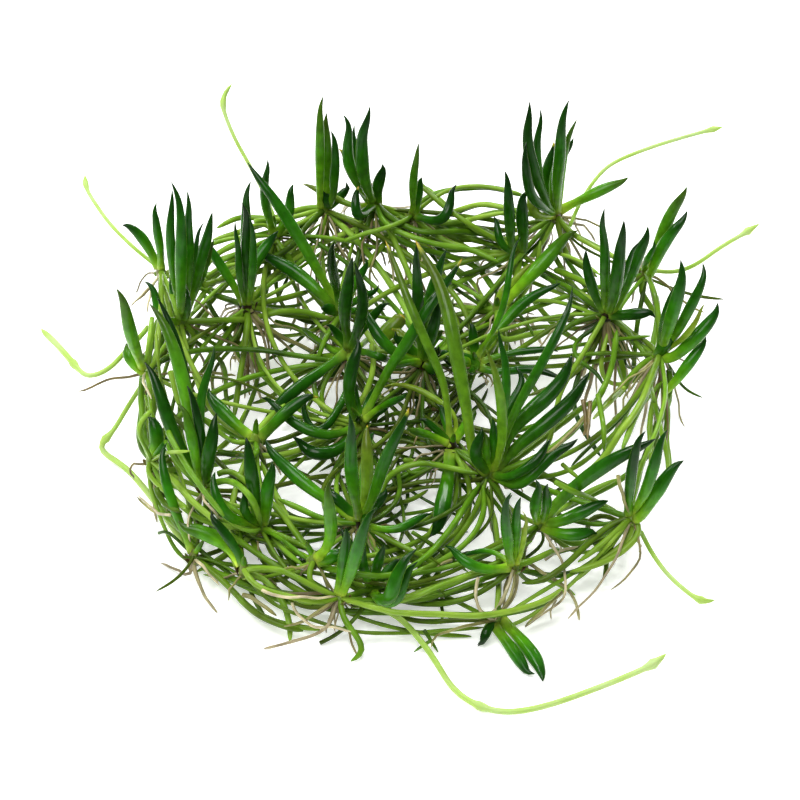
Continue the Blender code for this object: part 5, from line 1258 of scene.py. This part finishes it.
def eased(points, rounds):
    """A course with its small kinks drawn straight: inner points move to the mean of their neighbours."""
    for _ in range(rounds):
        inner = 0.25 * (points[:-2] + points[2:]) + 0.5 * points[1:-1]
        points = np.vstack([points[:1], inner, points[-1:]])
    return points


class Shell:
    """A closed skin: points, four-sided and three-sided faces, what the finish reads, and its material."""

    def __init__(self, points, quads, tris, share, around, length, traits, material):
        self.points = points
        self.quads = quads
        self.tris = tris
        self.share = share
        self.around = around
        self.length = length
        self.traits = traits
        self.material = material


def swept(centre, wide, half_width, half_thick, sides, traits, material, section=None):
    """A profile carried along a path, closed at both ends.

    Point (i, a) = centre(i) + half_width(i) * x(a) * wide(i) + half_thick(i) * y(a) * thick(i), where
    (x, y) is a unit circle, or the section given, and thick stands square to the path and to wide.
    """
    along = np.gradient(centre, axis=0)
    along /= np.maximum(np.linalg.norm(along, axis=1, keepdims=True), 1e-9)
    wide = wide - (wide * along).sum(1, keepdims=True) * along
    wide /= np.maximum(np.linalg.norm(wide, axis=1, keepdims=True), 1e-9)
    thick = np.cross(wide, along)
    angle = np.linspace(0, 2 * math.pi, sides, endpoint=False)
    x, y = (np.cos(angle), np.sin(angle)) if section is None else section(angle)
    rings = centre[:, None] + (half_width[:, None] * x)[..., None] * wide[:, None]
    rings = rings + (half_thick[:, None] * y)[..., None] * thick[:, None]
    count = len(centre)
    points = np.vstack([rings.reshape(-1, 3), centre[:1] - along[:1] * 0.3 * half_thick[0],
                        centre[-1:] + along[-1:] * 0.6 * half_thick[-1]])
    r, k = np.meshgrid(np.arange(count - 1), np.arange(sides), indexing="ij")
    n = (k + 1) % sides
    quads = np.stack([r * sides + k, (r + 1) * sides + k, (r + 1) * sides + n, r * sides + n], -1).reshape(-1, 4)
    k = np.arange(sides)
    n = (k + 1) % sides
    last = (count - 1) * sides
    tris = np.concatenate([np.stack([np.full(sides, count * sides), k, n], -1),
                           np.stack([last + n, last + k, np.full(sides, count * sides + 1)], -1)])
    share = np.concatenate([np.repeat(np.linspace(0, 1, count), sides), [0.0, 1.0]])
    around = np.concatenate([np.tile(k / sides, count), [0.0, 0.0]])
    length = np.linalg.norm(np.diff(centre, axis=0), axis=1).sum()
    return Shell(points, quads, tris, share, around, length, traits, material)


def across_sight(centre):
    """Directions across a path and across the line of sight, turned gently where the path looks away."""
    eye = view_axes()[3]
    along = np.gradient(centre, axis=0)
    wide = np.cross(along, centre - eye)
    wide /= np.maximum(np.linalg.norm(wide, axis=1, keepdims=True), 1e-9)
    turned = np.cumprod(np.concatenate([[1.0], np.where((wide[1:] * wide[:-1]).sum(1) < 0, -1.0, 1.0)]))
    wide = wide * turned[:, None]
    for _ in range(4):
        wide = np.vstack([wide[:1], 0.25 * wide[:-2] + 0.5 * wide[1:-1] + 0.25 * wide[2:], wide[-1:]])
    return wide


def leaf_section(angle):
    """A leaf's outline across: rounded below, flatter above, with soft edges."""
    return np.cos(angle), np.where(np.sin(angle) > 0, 0.8, 1.0) * np.sin(angle) * (1 - 0.12 * np.cos(2 * angle))


def blade_width(s):
    """Share of a leaf's greatest width: a narrow foot, the full width past the middle, then a short tip.

    The foot widens with a smooth step, and the taper is a power of what is left, softened by a root.
    """
    up = np.clip(s / 0.6, 0, 1)
    swell = LEAF_FOOT + (1 - LEAF_FOOT) * up * up * (3 - 2 * up)
    taper = np.clip(1 - np.clip((s - 0.5) / 0.5, 0, 1) ** 2.3, 0.0, 1) ** 0.76
    return swell * np.maximum(taper, 0.05)


def leaf_shell(strand, seed):
    """A fleshy leaf: sheathing foot, slow waves along its width, and a fine or a blunt tip."""
    bright, dry, yellow, blunt = LEAF_LOOKS[strand.look]
    random = np.random.default_rng(seed)
    centre = strand.points[1:] if strand.from_crown else strand.points
    centre = smooth_course(eased(centre, 5), 0.55)
    s = np.linspace(0, 1, len(centre))
    profile = blade_width(s) if blunt < 0.5 else np.sqrt(np.clip(1 - np.clip((s - 0.95) / 0.05, 0, 1) ** 2, 0.2, 1))
    half = 0.5 * LEAF_FULLNESS * strand.width * profile * (1 + wandering(len(s), seed, 0.03))
    from_foot = s * STRAND_STEP * (len(strand.points) - 1)
    if strand.from_crown:
        half = half + 0.22 * np.exp(-((from_foot / 1.8) ** 2))
    thin = LEAF_THICKNESS * (1 - 0.25 * np.exp(-((from_foot / 2.0) ** 2)))
    wide = across_sight(centre)
    hook = random.choice([-1, 1]) * random.uniform(0.1, 0.75) * (1 - blunt)
    centre = centre + hook * wide * (np.clip((s - 0.86) / 0.14, 0, 1) ** 2)[:, None]
    bright = float(np.clip(bright + random.normal(0, 0.08), 0, 1))
    return swept(centre, wide, half, half * thin, SIDES["leaf"], (bright, dry, yellow), "leaf", leaf_section)


def stem_shell(strand, seed):
    """A stolon or a runner: an even stem with a slight swelling at each joint, drawn out at its far end."""
    random = np.random.default_rng(seed)
    centre = smooth_course(eased(strand.points, 3), 0.7)
    s = np.linspace(0, 1, len(centre))
    along = s * STRAND_STEP * (len(strand.points) - 1)
    joint = np.exp(-(((along + 0.37 * seed) % NODE_SPACING - 0.5 * NODE_SPACING) ** 2) / 0.4)
    width = strand.width * (DRAWN_STEM if strand.look == "" else 1.0)
    left = along[-1] - along
    half = 0.5 * width * (1 + 0.12 * joint + wandering(len(s), seed, 0.03))
    half = half * np.clip(0.25 + 0.75 * np.sqrt(np.clip(left / 2.2, 0, 1)), 0, 1)
    low, high = STEM_TONES[strand.look]
    tone = (random.uniform(low, high), 0.0, random.uniform(0, 0.6))
    finish = "stolon"
    if strand.kind == "runner":
        knots = RUNNER_KNOTS[strand.plant]
        half = 0.5 * RUNNER_DRAWN.get(strand.plant, 0.56) * (1 + 0.25 * (left < knots[0]))
        half = half * (1 + 0.6 * sum(np.exp(-(((left - knot) / 0.7) ** 2)) for knot in knots))
        half = half * np.clip(0.12 + 0.88 * np.sqrt(np.clip(left / 1.8, 0, 1)), 0, 1)
        finish = "runner"
    shell = swept(centre, across_sight(centre), half, half, SIDES[strand.kind], tone, finish)
    if strand.kind == "runner":
        # Partly painted light: a runner grows lighter along its length towards its free end. This is partly its young
        # colour and partly painted light shining through the thin stem. The bud at the tip stays darker.
        near_tip = np.clip(1 - (1 - shell.share) * shell.length / 4.0, 0, 1)
        shell.traits = (0.1 + 0.8 * shell.share - 0.5 * near_tip, 0.0, 0.0)
    return shell


def root_shell(strand, seed):
    """A root: thin, unevenly bent, narrowing to a blunt end."""
    random = np.random.default_rng(seed)
    centre = smooth_course(eased(strand.points, 2), 0.8)
    s = np.linspace(0, 1, len(centre))
    drawn = DRAWN_ROOT if strand.look == "" else 1.0
    half = 0.5 * drawn * strand.width * root_width(s) * (1 + wandering(len(s), seed, 0.06))
    wide = across_sight(centre)
    swing = np.minimum(1, 4 * s)[:, None] * np.stack(
        [wandering(len(s), seed + 7, 0.14), wandering(len(s), seed + 8, 0.14), np.zeros(len(s))], axis=1)
    traits = ROOT_TONES.get(strand.look, (random.uniform(0.2, 0.9), 0.0, random.uniform(0, 1)))
    centre = centre + swing
    centre[:, 2] = np.maximum(centre[:, 2], half + MAT_MIDDLE[2])
    return swept(centre, wide, half, half, SIDES["root"], traits, "root")


def fine_roots(name, plant, seed):
    """Hair roots under a crown: each leaves it outwards, bends down and wanders to the ground."""
    random = np.random.default_rng(seed)
    crown = crown_place(plant["crown"])
    low, high = (np.array(corner[:2]) / MM + MAT_MIDDLE[:2] for corner in cad_box)
    shells = []
    for k in range(FINE_ROOTS.get(name, 5)):
        turn = random.uniform(0, 2 * math.pi)
        drop = random.uniform(0.3, 0.85)
        away = np.array([math.cos(turn), math.sin(turn), 0.0])
        reach = crown[2] * random.uniform(0.2, 0.7)
        end = crown + away * reach
        end[2] = max(0.35, crown[2] * (1 - drop))
        middle = 0.5 * (crown + end) + away * random.uniform(0.0, 0.3) * reach
        points = smooth_course(np.array([crown, crown + away * 0.7 - [0, 0, 0.8], middle, end]), 0.8)
        half = 0.5 * FINE_ROOT_WIDTH * random.uniform(0.7, 1.2) * root_width(np.linspace(0, 1, len(points)))
        sway = np.minimum(1, np.arange(len(points)) / 4)[:, None]
        sway = sway * np.stack([wandering(len(points), seed + 31 * k + c, 0.35) for c in (0, 1)]
                               + [np.zeros(len(points))], axis=1)
        points = points + sway
        points[:, :2] = np.clip(points[:, :2], low + BOX_MARGIN, high - BOX_MARGIN)
        points[:, 2] = np.maximum(points[:, 2], half + MAT_MIDDLE[2])
        traits = (random.uniform(0.1, 1), 0.0, random.uniform(0.2, 1))
        shells.append(swept(points, across_sight(points), half, half, 5, traits, "root"))
    return shells


def crown_shells(name, plant, seed):
    """A crown: a knobbly core, old leaf bases round it and a young leaf or two in the middle."""
    random = np.random.default_rng(seed)
    place = crown_place(plant["crown"])
    levels = np.linspace(0, 1, 9)
    centre = place + np.stack([0 * levels, 0 * levels, CROWN_HEIGHT * (2.2 * levels - 1.1)], axis=1)
    half = CROWN_DRAWN * (0.16 + 0.84 * np.sin(math.pi * np.clip(levels * 0.86 + 0.1, 0, 1)) ** 0.7)
    wide = np.tile([1.0, 0.0, 0.0], (9, 1))
    old = OLD_CROWNS.get(name, 0.18)
    shells = [swept(centre, wide, half, half, 14, (old, 0.0, 0.0), "crown")]
    count = 3 + int(6 * old)
    for k in range(count):
        turn = 2.4 * k + random.uniform(-0.4, 0.4)
        lift = random.uniform(0.3, 0.9)
        away = np.array([math.cos(turn), math.sin(turn), 0.0])
        length = random.uniform(0.9, 1.8)
        s = np.linspace(0, 1, 9)[:, None]
        path = place + away * (0.7 + 0.5 * length * s) + [0, 0, -0.9] + np.array([0, 0, lift]) * length * s
        width = 0.5 * random.uniform(0.8, 1.2) * np.sqrt(np.clip(1 - s[:, 0] ** 1.8, 0.01, 1))
        side = np.tile(np.cross(away, [0, 0, 1.0]), (9, 1))
        traits = (float(np.clip(old + random.normal(0, 0.2), 0, 1)), 0.0, 0.0)
        shells.append(swept(path, side, width, 0.28 * width, SIDES["scale"], traits, "crown"))
    lean = np.array([random.normal(0, 0.2), random.normal(0, 0.2), 1.0])
    s = np.linspace(0, 1, 11)[:, None]
    path = place + lean * random.uniform(2.0, 3.6) * s + [0, 0, 0.3]
    width = 0.42 * leaf_width(s[:, 0])
    shells.append(swept(path, np.tile([1.0, 0.1, 0], (11, 1)), width, 0.8 * width, SIDES["shoot"],
                        (0.8, 0.0, 0.2), "leaf"))
    return shells


def linear(code):
    """A six-digit sRGB hex colour as linear light, with full opacity."""
    parts = [int(code[k : k + 2], 16) / 255 for k in (1, 3, 5)]
    return tuple(c / 12.92 if c <= 0.04045 else ((c + 0.055) / 1.055) ** 2.4 for c in parts) + (1.0,)


def add(tree, kind, inputs=None, stops=None, **settings):
    """Adds a node with its settings, the stops of its ramp, and its inputs as values or links."""
    made = tree.nodes.new(kind)
    for name, value in settings.items():
        setattr(made, name, value)
    if stops:
        ramp = made.color_ramp.elements
        while len(ramp) < len(stops):
            ramp.new(0.5)
        for element, (place, colour) in zip(ramp, stops):
            element.position = place
            element.color = linear(colour)
    for name, value in (inputs or {}).items():
        if isinstance(value, bpy.types.Node):
            tree.links.new(value.outputs[0], made.inputs[name])
        elif isinstance(value, bpy.types.NodeSocket):
            tree.links.new(value, made.inputs[name])
        else:
            made.inputs[name].default_value = value
    return made


def new_material(name):
    made = bpy.data.materials.new(name)
    made.use_nodes = True
    made.node_tree.nodes.clear()
    return made, made.node_tree


def leaf_finish():
    """Fleshy leaf, wet: a pale foot, a green middle and a dark tip, with fine lengthwise ribs.

    The water film gives narrow white highlights, and the flesh lets some light through. A pale rim along both edges of
    the leaf's width is a painted highlight.
    """
    made, m = new_material("fleshy leaf, wet")
    share, bright, dry, yellow = (
        add(m, "ShaderNodeAttribute", attribute_name=name).outputs["Fac"]
        for name in ("share", "bright", "dry", "yellow"))
    vivid = add(m, "ShaderNodeValToRGB", {"Fac": share}, stops=[
        (0.0, "#b9cf4c"), (0.12, "#8fbf24"), (0.35, "#589e10"),
        (0.6, "#33800a"), (0.82, "#1c5806"), (1.0, "#0f3603")])
    deep = add(m, "ShaderNodeValToRGB", {"Fac": share}, stops=[
        (0.0, "#7c9a30"), (0.1, "#427616"), (0.28, "#1f5806"),
        (0.6, "#103c03"), (0.85, "#092802"), (1.0, "#061c02")])
    green = add(m, "ShaderNodeMixRGB", {"Fac": bright, "Color1": deep, "Color2": vivid})
    much = add(m, "ShaderNodeMath", {0: yellow, 1: 0.7}, operation="MULTIPLY")
    green = add(m, "ShaderNodeMixRGB", {"Fac": much, "Color1": green, "Color2": linear("#8f9a2c")})
    place = add(m, "ShaderNodeTexCoord").outputs["Object"]
    mottle = add(m, "ShaderNodeTexNoise", {"Vector": place, "Scale": 700.0, "Detail": 3.0})
    shade = add(m, "ShaderNodeMapRange", {"Value": mottle.outputs["Fac"], "From Min": 0.3, "From Max": 0.7,
                                          "To Min": 0.72, "To Max": 1.25})
    green = add(m, "ShaderNodeVectorMath", {0: green, 1: shade}, operation="MULTIPLY")
    start = add(m, "ShaderNodeMath", {0: 1.0, 1: dry}, operation="SUBTRACT")
    tip = add(m, "ShaderNodeMapRange", {"Value": share, "From Min": start, "From Max": 1.001,
                                        "To Min": 0.0, "To Max": 1.0}, clamp=True)
    has_dry = add(m, "ShaderNodeMath", {0: dry, 1: 0.005}, operation="GREATER_THAN")
    tip = add(m, "ShaderNodeMath", {0: tip, 1: has_dry}, operation="MULTIPLY")
    straw = add(m, "ShaderNodeValToRGB", {"Fac": tip}, stops=[
        (0.0, "#8aa524"), (0.5, "#a9a233"), (0.8, "#a5862f"), (1.0, "#6e5220")])
    cover = add(m, "ShaderNodeMath", {0: tip, 1: 1.6}, operation="MULTIPLY", use_clamp=True)
    colour = add(m, "ShaderNodeMixRGB", {"Fac": cover, "Color1": green, "Color2": straw})
    uv = add(m, "ShaderNodeUVMap", uv_map="skin")
    # Painted highlight: a pale rim, colour #86b23c, painted along both edges of the leaf's width. across_sight turns
    # that width across the line of sight, so the rim lies along the leaf's outline, where wet skin shows a bright
    # reflection.
    edge = add(m, "ShaderNodeSeparateXYZ", {"Vector": uv})
    turn = add(m, "ShaderNodeMath", {0: edge.outputs["X"], 1: 2 * math.pi}, operation="MULTIPLY")
    painted_rim_highlight = add(m, "ShaderNodeMath", {0: turn}, operation="COSINE")
    painted_rim_highlight = add(m, "ShaderNodeMath", {0: painted_rim_highlight}, operation="ABSOLUTE")
    painted_rim_highlight = add(m, "ShaderNodeMapRange", {"Value": painted_rim_highlight, "From Min": 0.93, "From Max": 1.0,
                                           "To Min": 0.0, "To Max": 0.35})
    colour = add(m, "ShaderNodeMixRGB", {"Fac": painted_rim_highlight, "Color1": colour, "Color2": linear("#86b23c")})
    stretch = add(m, "ShaderNodeMapping", {"Vector": uv, "Scale": (26.0, 0.5, 1.0)})
    ribs = add(m, "ShaderNodeTexNoise", {"Vector": stretch, "Scale": 1.0, "Detail": 2.0})
    bump = add(m, "ShaderNodeBump", {"Height": ribs.outputs["Fac"], "Strength": 0.35, "Distance": 0.00006})
    shader = add(m, "ShaderNodeBsdfPrincipled", {
        "Base Color": colour, "Normal": bump, "Roughness": 0.2, "IOR": 1.4, "Subsurface Weight": 0.15,
        "Subsurface Scale": 0.0005, "Subsurface Radius": (0.4, 1.0, 0.1), "Specular IOR Level": 0.25})
    add(m, "ShaderNodeOutputMaterial", {"Surface": shader})
    return made


def stem_finish(name, dark, middle, light, clear):
    """Juicy stem: smooth and wet, lighter where it is young and, on the runners, where painted light shines through, a
    little see-through.
    """
    made, m = new_material(name)
    bright = add(m, "ShaderNodeAttribute", attribute_name="bright").outputs["Fac"]
    yellow = add(m, "ShaderNodeAttribute", attribute_name="yellow").outputs["Fac"]
    place = add(m, "ShaderNodeTexCoord").outputs["Object"]
    patch = add(m, "ShaderNodeTexNoise", {"Vector": place, "Scale": 220.0, "Detail": 2.0})
    mix = add(m, "ShaderNodeMath", {0: patch.outputs["Fac"], 1: -0.5}, operation="ADD")
    mix = add(m, "ShaderNodeMath", {0: mix, 1: 1.2}, operation="MULTIPLY")
    mix = add(m, "ShaderNodeMath", {0: mix, 1: bright}, operation="ADD", use_clamp=True)
    colour = add(m, "ShaderNodeValToRGB", {"Fac": mix}, stops=[(0.0, dark), (0.45, middle), (1.0, light)])
    much = add(m, "ShaderNodeMath", {0: yellow, 1: 0.4}, operation="MULTIPLY")
    colour = add(m, "ShaderNodeMixRGB", {"Fac": much, "Color1": colour, "Color2": linear("#8a8a34")})
    uv = add(m, "ShaderNodeUVMap", uv_map="skin")
    stretch = add(m, "ShaderNodeMapping", {"Vector": uv, "Scale": (18.0, 0.8, 1.0)})
    cells = add(m, "ShaderNodeTexNoise", {"Vector": stretch, "Scale": 1.0, "Detail": 2.0})
    bump = add(m, "ShaderNodeBump", {"Height": cells.outputs["Fac"], "Strength": 0.3, "Distance": 0.00005})
    shader = add(m, "ShaderNodeBsdfPrincipled", {
        "Base Color": colour, "Normal": bump, "Roughness": 0.25, "IOR": 1.4, "Subsurface Weight": clear,
        "Subsurface Scale": 0.0006, "Subsurface Radius": (0.6, 1.0, 0.2), "Specular IOR Level": 0.2})
    add(m, "ShaderNodeOutputMaterial", {"Surface": shader})
    return made


def root_finish():
    """Wet root: glassy beige to olive brown, darker where it is older."""
    made, m = new_material("wet root")
    bright = add(m, "ShaderNodeAttribute", attribute_name="bright").outputs["Fac"]
    yellow = add(m, "ShaderNodeAttribute", attribute_name="yellow").outputs["Fac"]
    pale = add(m, "ShaderNodeMixRGB", {"Fac": yellow, "Color1": linear("#c4b998"), "Color2": linear("#8a8c4a")})
    old = add(m, "ShaderNodeMixRGB", {"Fac": bright, "Color1": linear("#5c4c22"), "Color2": pale})
    place = add(m, "ShaderNodeTexCoord").outputs["Object"]
    patch = add(m, "ShaderNodeTexNoise", {"Vector": place, "Scale": 420.0, "Detail": 3.0})
    shade = add(m, "ShaderNodeMapRange", {"Value": patch.outputs["Fac"], "From Min": 0.35, "From Max": 0.65,
                                          "To Min": 0.65, "To Max": 1.25})
    colour = add(m, "ShaderNodeVectorMath", {0: old, 1: shade}, operation="MULTIPLY")
    grain = add(m, "ShaderNodeTexNoise", {"Vector": place, "Scale": 2600.0, "Detail": 2.0})
    bump = add(m, "ShaderNodeBump", {"Height": grain.outputs["Fac"], "Strength": 0.4, "Distance": 0.00004})
    shader = add(m, "ShaderNodeBsdfPrincipled", {
        "Base Color": colour, "Normal": bump, "Roughness": 0.32, "IOR": 1.38, "Subsurface Weight": 0.25,
        "Subsurface Scale": 0.0005, "Subsurface Radius": (1.0, 0.8, 0.5)})
    add(m, "ShaderNodeOutputMaterial", {"Surface": shader})
    return made


def crown_finish():
    """Leaf bases: yellow-green when young, then brown and papery, and nearly black where they rot wet."""
    made, m = new_material("leaf bases, wet")
    bright = add(m, "ShaderNodeAttribute", attribute_name="bright").outputs["Fac"]
    place = add(m, "ShaderNodeTexCoord").outputs["Object"]
    patch = add(m, "ShaderNodeTexNoise", {"Vector": place, "Scale": 520.0, "Detail": 4.0})
    age = add(m, "ShaderNodeMath", {0: patch.outputs["Fac"], 1: -0.45}, operation="ADD")
    age = add(m, "ShaderNodeMath", {0: age, 1: bright}, operation="ADD", use_clamp=True)
    colour = add(m, "ShaderNodeValToRGB", {"Fac": age}, stops=[
        (0.0, "#7f9a34"), (0.25, "#66812a"), (0.45, "#584c1e"), (0.7, "#33240f"), (0.95, "#150f07")])
    grain = add(m, "ShaderNodeTexNoise", {"Vector": place, "Scale": 2200.0, "Detail": 3.0})
    bump = add(m, "ShaderNodeBump", {"Height": grain.outputs["Fac"], "Strength": 0.5, "Distance": 0.00008})
    shader = add(m, "ShaderNodeBsdfPrincipled", {
        "Base Color": colour, "Normal": bump, "Roughness": 0.3, "IOR": 1.4, "Subsurface Weight": 0.1,
        "Subsurface Scale": 0.0005})
    add(m, "ShaderNodeOutputMaterial", {"Surface": shader})
    return made


def floor_finish():
    """Matt white paper under the mat."""
    made, m = new_material("white paper")
    place = add(m, "ShaderNodeTexCoord").outputs["Object"]
    grain = add(m, "ShaderNodeTexNoise", {"Vector": place, "Scale": 900.0, "Detail": 2.0})
    bump = add(m, "ShaderNodeBump", {"Height": grain.outputs["Fac"], "Strength": 0.05, "Distance": 0.0001})
    shader = add(m, "ShaderNodeBsdfPrincipled", {
        "Base Color": linear("#f7f7f6"), "Normal": bump, "Roughness": 0.9, "Specular IOR Level": 0.2,
        "Emission Color": linear("#ffffff"), "Emission Strength": 0.45})
    add(m, "ShaderNodeOutputMaterial", {"Surface": shader})
    return made


def skin_mesh(name, shells, finishes):
    """One mesh from closed shells, in metres about the middle of the mat, with what the finishes read."""
    order = list(finishes)
    offsets = np.cumsum([0] + [len(s.points) for s in shells])
    points = (np.vstack([s.points for s in shells]) - MAT_MIDDLE) * MM
    corners, sizes, places, finish = [], [], [], []
    for shell, offset in zip(shells, offsets):
        for faces in (shell.quads, shell.tris):
            around = shell.around[faces]
            around = np.where(around < around.max(1, keepdims=True) - 0.5, around + 1.0, around)
            corners.append((faces + offset).reshape(-1))
            places.append(np.stack([around, shell.share[faces] * shell.length], -1).reshape(-1, 2))
            sizes.append(np.full(len(faces), faces.shape[1]))
            finish.append(np.full(len(faces), order.index(shell.material)))
    corners, sizes, places, finish = (np.concatenate(x) for x in (corners, sizes, places, finish))
    mesh = bpy.data.meshes.new(name)
    mesh.vertices.add(len(points))
    mesh.vertices.foreach_set("co", points.astype(np.float32).reshape(-1))
    mesh.loops.add(len(corners))
    mesh.loops.foreach_set("vertex_index", corners.astype(np.int32))
    mesh.polygons.add(len(sizes))
    mesh.polygons.foreach_set("loop_start", np.concatenate([[0], np.cumsum(sizes)[:-1]]).astype(np.int32))
    mesh.polygons.foreach_set("material_index", finish.astype(np.int32))
    mesh.update(calc_edges=True)
    mesh.polygons.foreach_set("use_smooth", np.ones(len(sizes), bool))
    mesh.uv_layers.new(name="skin").uv.foreach_set("vector", places.astype(np.float32).reshape(-1))
    traits = {"share": np.concatenate([s.share for s in shells])}
    for k, trait in enumerate(("bright", "dry", "yellow")):
        traits[trait] = np.concatenate([np.broadcast_to(s.traits[k], len(s.points)) for s in shells])
    for trait, values in traits.items():
        mesh.attributes.new(trait, "FLOAT", "POINT").data.foreach_set("value", values.astype(np.float32))
    for material in finishes.values():
        mesh.materials.append(material)
    mesh.validate()
    made = bpy.data.objects.new(name, mesh)
    bpy.context.scene.collection.objects.link(made)
    return made


# How old and brown a crown is, how many hair roots hang from it, and how many small leaves it bears,
# where they differ from the rest
OLD_CROWNS = {
    "rosette_back_right": 0.45, "rosette_right_inner": 0.6, "rosette_right": 0.45, "rosette_centre": 0.7,
    "rosette_centre_front": 0.85, "rosette_front_middle": 0.8, "rosette_left_inner": 0.7,
    "rosette_left_front_inner": 0.5, "rosette_left_front": 0.35, "rosette_front_under": 0.7,
    "rosette_back_inner": 0.1, "rosette_centre_right": 0.1, "rosette_back_middle": 0.45,
}
FINE_ROOTS = {
    "rosette_back_left": 16, "rosette_back_middle": 20, "rosette_back_small": 6, "rosette_back_right": 14,
    "rosette_back_inner": 16, "rosette_right_inner": 16, "rosette_left_inner": 16, "rosette_left_back": 8,
    "rosette_centre": 20, "rosette_right": 12, "rosette_front_bottom": 0, "rosette_front_under": 2,
    "rosette_centre_front": 18, "rosette_front_middle": 16, "rosette_centre_strap": 14,
    "rosette_centre_dark": 14, "rosette_centre_left": 12, "rosette_centre_back": 12,
    "rosette_left_outer": 3, "rosette_left": 3, "rosette_left_low": 3, "rosette_right_back": 3,
}
TANGLED = {
    "rosette_centre": 13, "rosette_centre_front": 15, "rosette_front_middle": 15, "rosette_centre_strap": 11,
    "rosette_centre_dark": 15, "rosette_centre_left": 10, "rosette_centre_back": 6, "rosette_centre_right": 10,
    "rosette_inner_left": 5, "rosette_back_inner": 5, "rosette_front_bottom": 0, "rosette_front_under": 1,
    "rosette_left_front": 1, "rosette_left_inner": 4, "rosette_right_inner": 5, "rosette_left_outer": 0,
    "rosette_right_back": 1, "rosette_back_small": 1, "rosette_back_middle": 5, "rosette_back_left": 4,
}
YOUNG_LEAVES = {
    "rosette_centre": 6, "rosette_centre_front": 5, "rosette_front_middle": 4, "rosette_centre_strap": 5,
    "rosette_centre_dark": 5, "rosette_centre_left": 4, "rosette_centre_back": 4, "rosette_front_under": 2,
}
# Drawn widths of the runners, and how far from its tip each joint of a runner lies, the last one first
RUNNER_DRAWN = {"runner_front": 0.8, "runner_left": 0.72, "runner_left_front": 0.66, "runner_front_right": 0.6,
                "runner_right": 0.62}
RUNNER_KNOTS = {
    "runner_back_left": (1.8,), "runner_back": (3.4,), "runner_left": (10.5,), "runner_back_right": (1.6,),
    "runner_right": (2.2,), "runner_left_front": (24.6,), "runner_front": (2.4, 26.0),
    "runner_front_right": (2.2,),
}


# Tones of stems, from the least to the most bright, and of roots: bright, dry, yellow
STEM_TONES = {"": (0.15, 0.85), "w": (0.1, 0.85), "k": (0.0, 0.2), "m": (0.35, 0.6), "l": (0.65, 1.0)}
ROOT_TONES = {"p": (1.0, 0.0, 0.15), "o": (0.75, 0.0, 0.9), "b": (0.1, 0.0, 0.6)}


def stage():
    """White paper, a large soft light overhead, a bright strip behind, and pale surroundings.

    The surroundings are white about the horizon and darker overhead, as a room with white walls is.
    """
    bpy.ops.mesh.primitive_plane_add(size=6.0, location=(0, 0, 0))
    floor = bpy.context.object
    floor.name = "floor"
    floor.data.materials.append(floor_finish())
    for name, place, wide, deep, power in (("soft_front", (-0.1, -0.22, 0.68), 0.42, 0.42, 4.8),
                                           ("strip_back", (0.05, 0.42, 0.5), 0.6, 0.02, 3.4),
                                           ("strip_left", (-0.45, 0.1, 0.5), 0.3, 0.02, 1.8)):
        light = bpy.data.lights.new(name, "AREA")
        light.shape = "RECTANGLE"
        light.size = wide
        light.size_y = deep
        light.energy = power
        lamp = bpy.data.objects.new(name, light)
        lamp.location = place
        lamp.rotation_euler = (math.atan2(math.hypot(place[0], place[1]), place[2]), 0.0,
                               math.atan2(place[0], -place[1]))
        bpy.context.scene.collection.objects.link(lamp)
    world = bpy.data.worlds.new("pale room")
    world.use_nodes = True
    tree = world.node_tree
    tree.nodes.clear()
    toward = add(tree, "ShaderNodeTexCoord").outputs["Generated"]
    height = add(tree, "ShaderNodeSeparateXYZ", {"Vector": toward})
    colour = add(tree, "ShaderNodeValToRGB", {"Fac": height.outputs["Z"]}, stops=[
        (0.0, "#e2e2e2"), (0.08, "#c4c4c4"), (0.35, "#7c7c7c"), (1.0, "#6c6c6c")])
    glow = add(tree, "ShaderNodeBackground", {"Color": colour, "Strength": 1.0})
    add(tree, "ShaderNodeOutputWorld", {"Surface": glow})
    bpy.context.scene.world = world
    bpy.context.scene.view_settings.view_transform = "Standard"


def camera():
    """The view the mat is drawn in, as a camera."""
    lens = bpy.data.cameras.new("view")
    lens.sensor_width = SENSOR
    lens.lens = SENSOR * POINTS_PER_MM * VIEW_DISTANCE / PICTURE_SIZE
    made = bpy.data.objects.new("view", lens)
    made.location = (view_axes()[3] - MAT_MIDDLE) * MM
    made.rotation_euler = (math.pi / 2 - VIEW_RISE, 0.0, 0.0)
    bpy.context.scene.collection.objects.link(made)
    bpy.context.scene.camera = made


def main():
    strands = solid_strands()
    slide_apart(strands)
    settled = len(strands)
    for node, kind, tone, start, end, width, course in SMALL_STRANDS:
        points = long_stem(node, kind, start, end, width, course).points
        strands.append(Strand(node, kind, led_in(points), width, False, tone))
    for node, kind, tone, side, start, end, width, course in WALL_STRANDS:
        points = smooth_course(wall_course(side, start, end, course), STRAND_STEP)
        strands.append(Strand(node, kind, led_in(points), width, False, tone))
    strands += woven_stems() + tangled_stems() + young_leaves()
    slide_apart(strands, settled, 120, ground=MAT_MIDDLE[2] + 0.04)
    finishes = {
        "leaf": leaf_finish(),
        "stolon": stem_finish("stolon, wet", "#22440a", "#558514", "#86ad3a", 0.15),
        # Runner colours are pale green to whitish. This is partly their own young colour and partly painted light
        # shining through the thin runners.
        "runner": stem_finish("young runner, glassy, with painted backlight", "#86ab3c", "#a2bf5e", "#b4c98c", 0.3),
        "root": root_finish(),
        "crown": crown_finish(),
    }
    make = {"leaf": leaf_shell, "stolon": stem_shell, "runner": stem_shell, "root": root_shell}
    for seed, node in enumerate(frame["nodes"]):
        own = [s for s in strands if s.plant == node]
        shells = [make[s.kind](s, 100 * seed + k) for k, s in enumerate(own)]
        if node in ROSETTES:
            shells += crown_shells(node, ROSETTES[node], 5000 + seed)
            shells += fine_roots(node, ROSETTES[node], 9000 + 40 * seed)
        used = {name: finishes[name] for name in finishes if any(s.material == name for s in shells)}
        piece = skin_mesh(node + "_skin", shells, used)
        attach(piece, "root")
        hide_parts(node)
    stage()
    camera()


main()
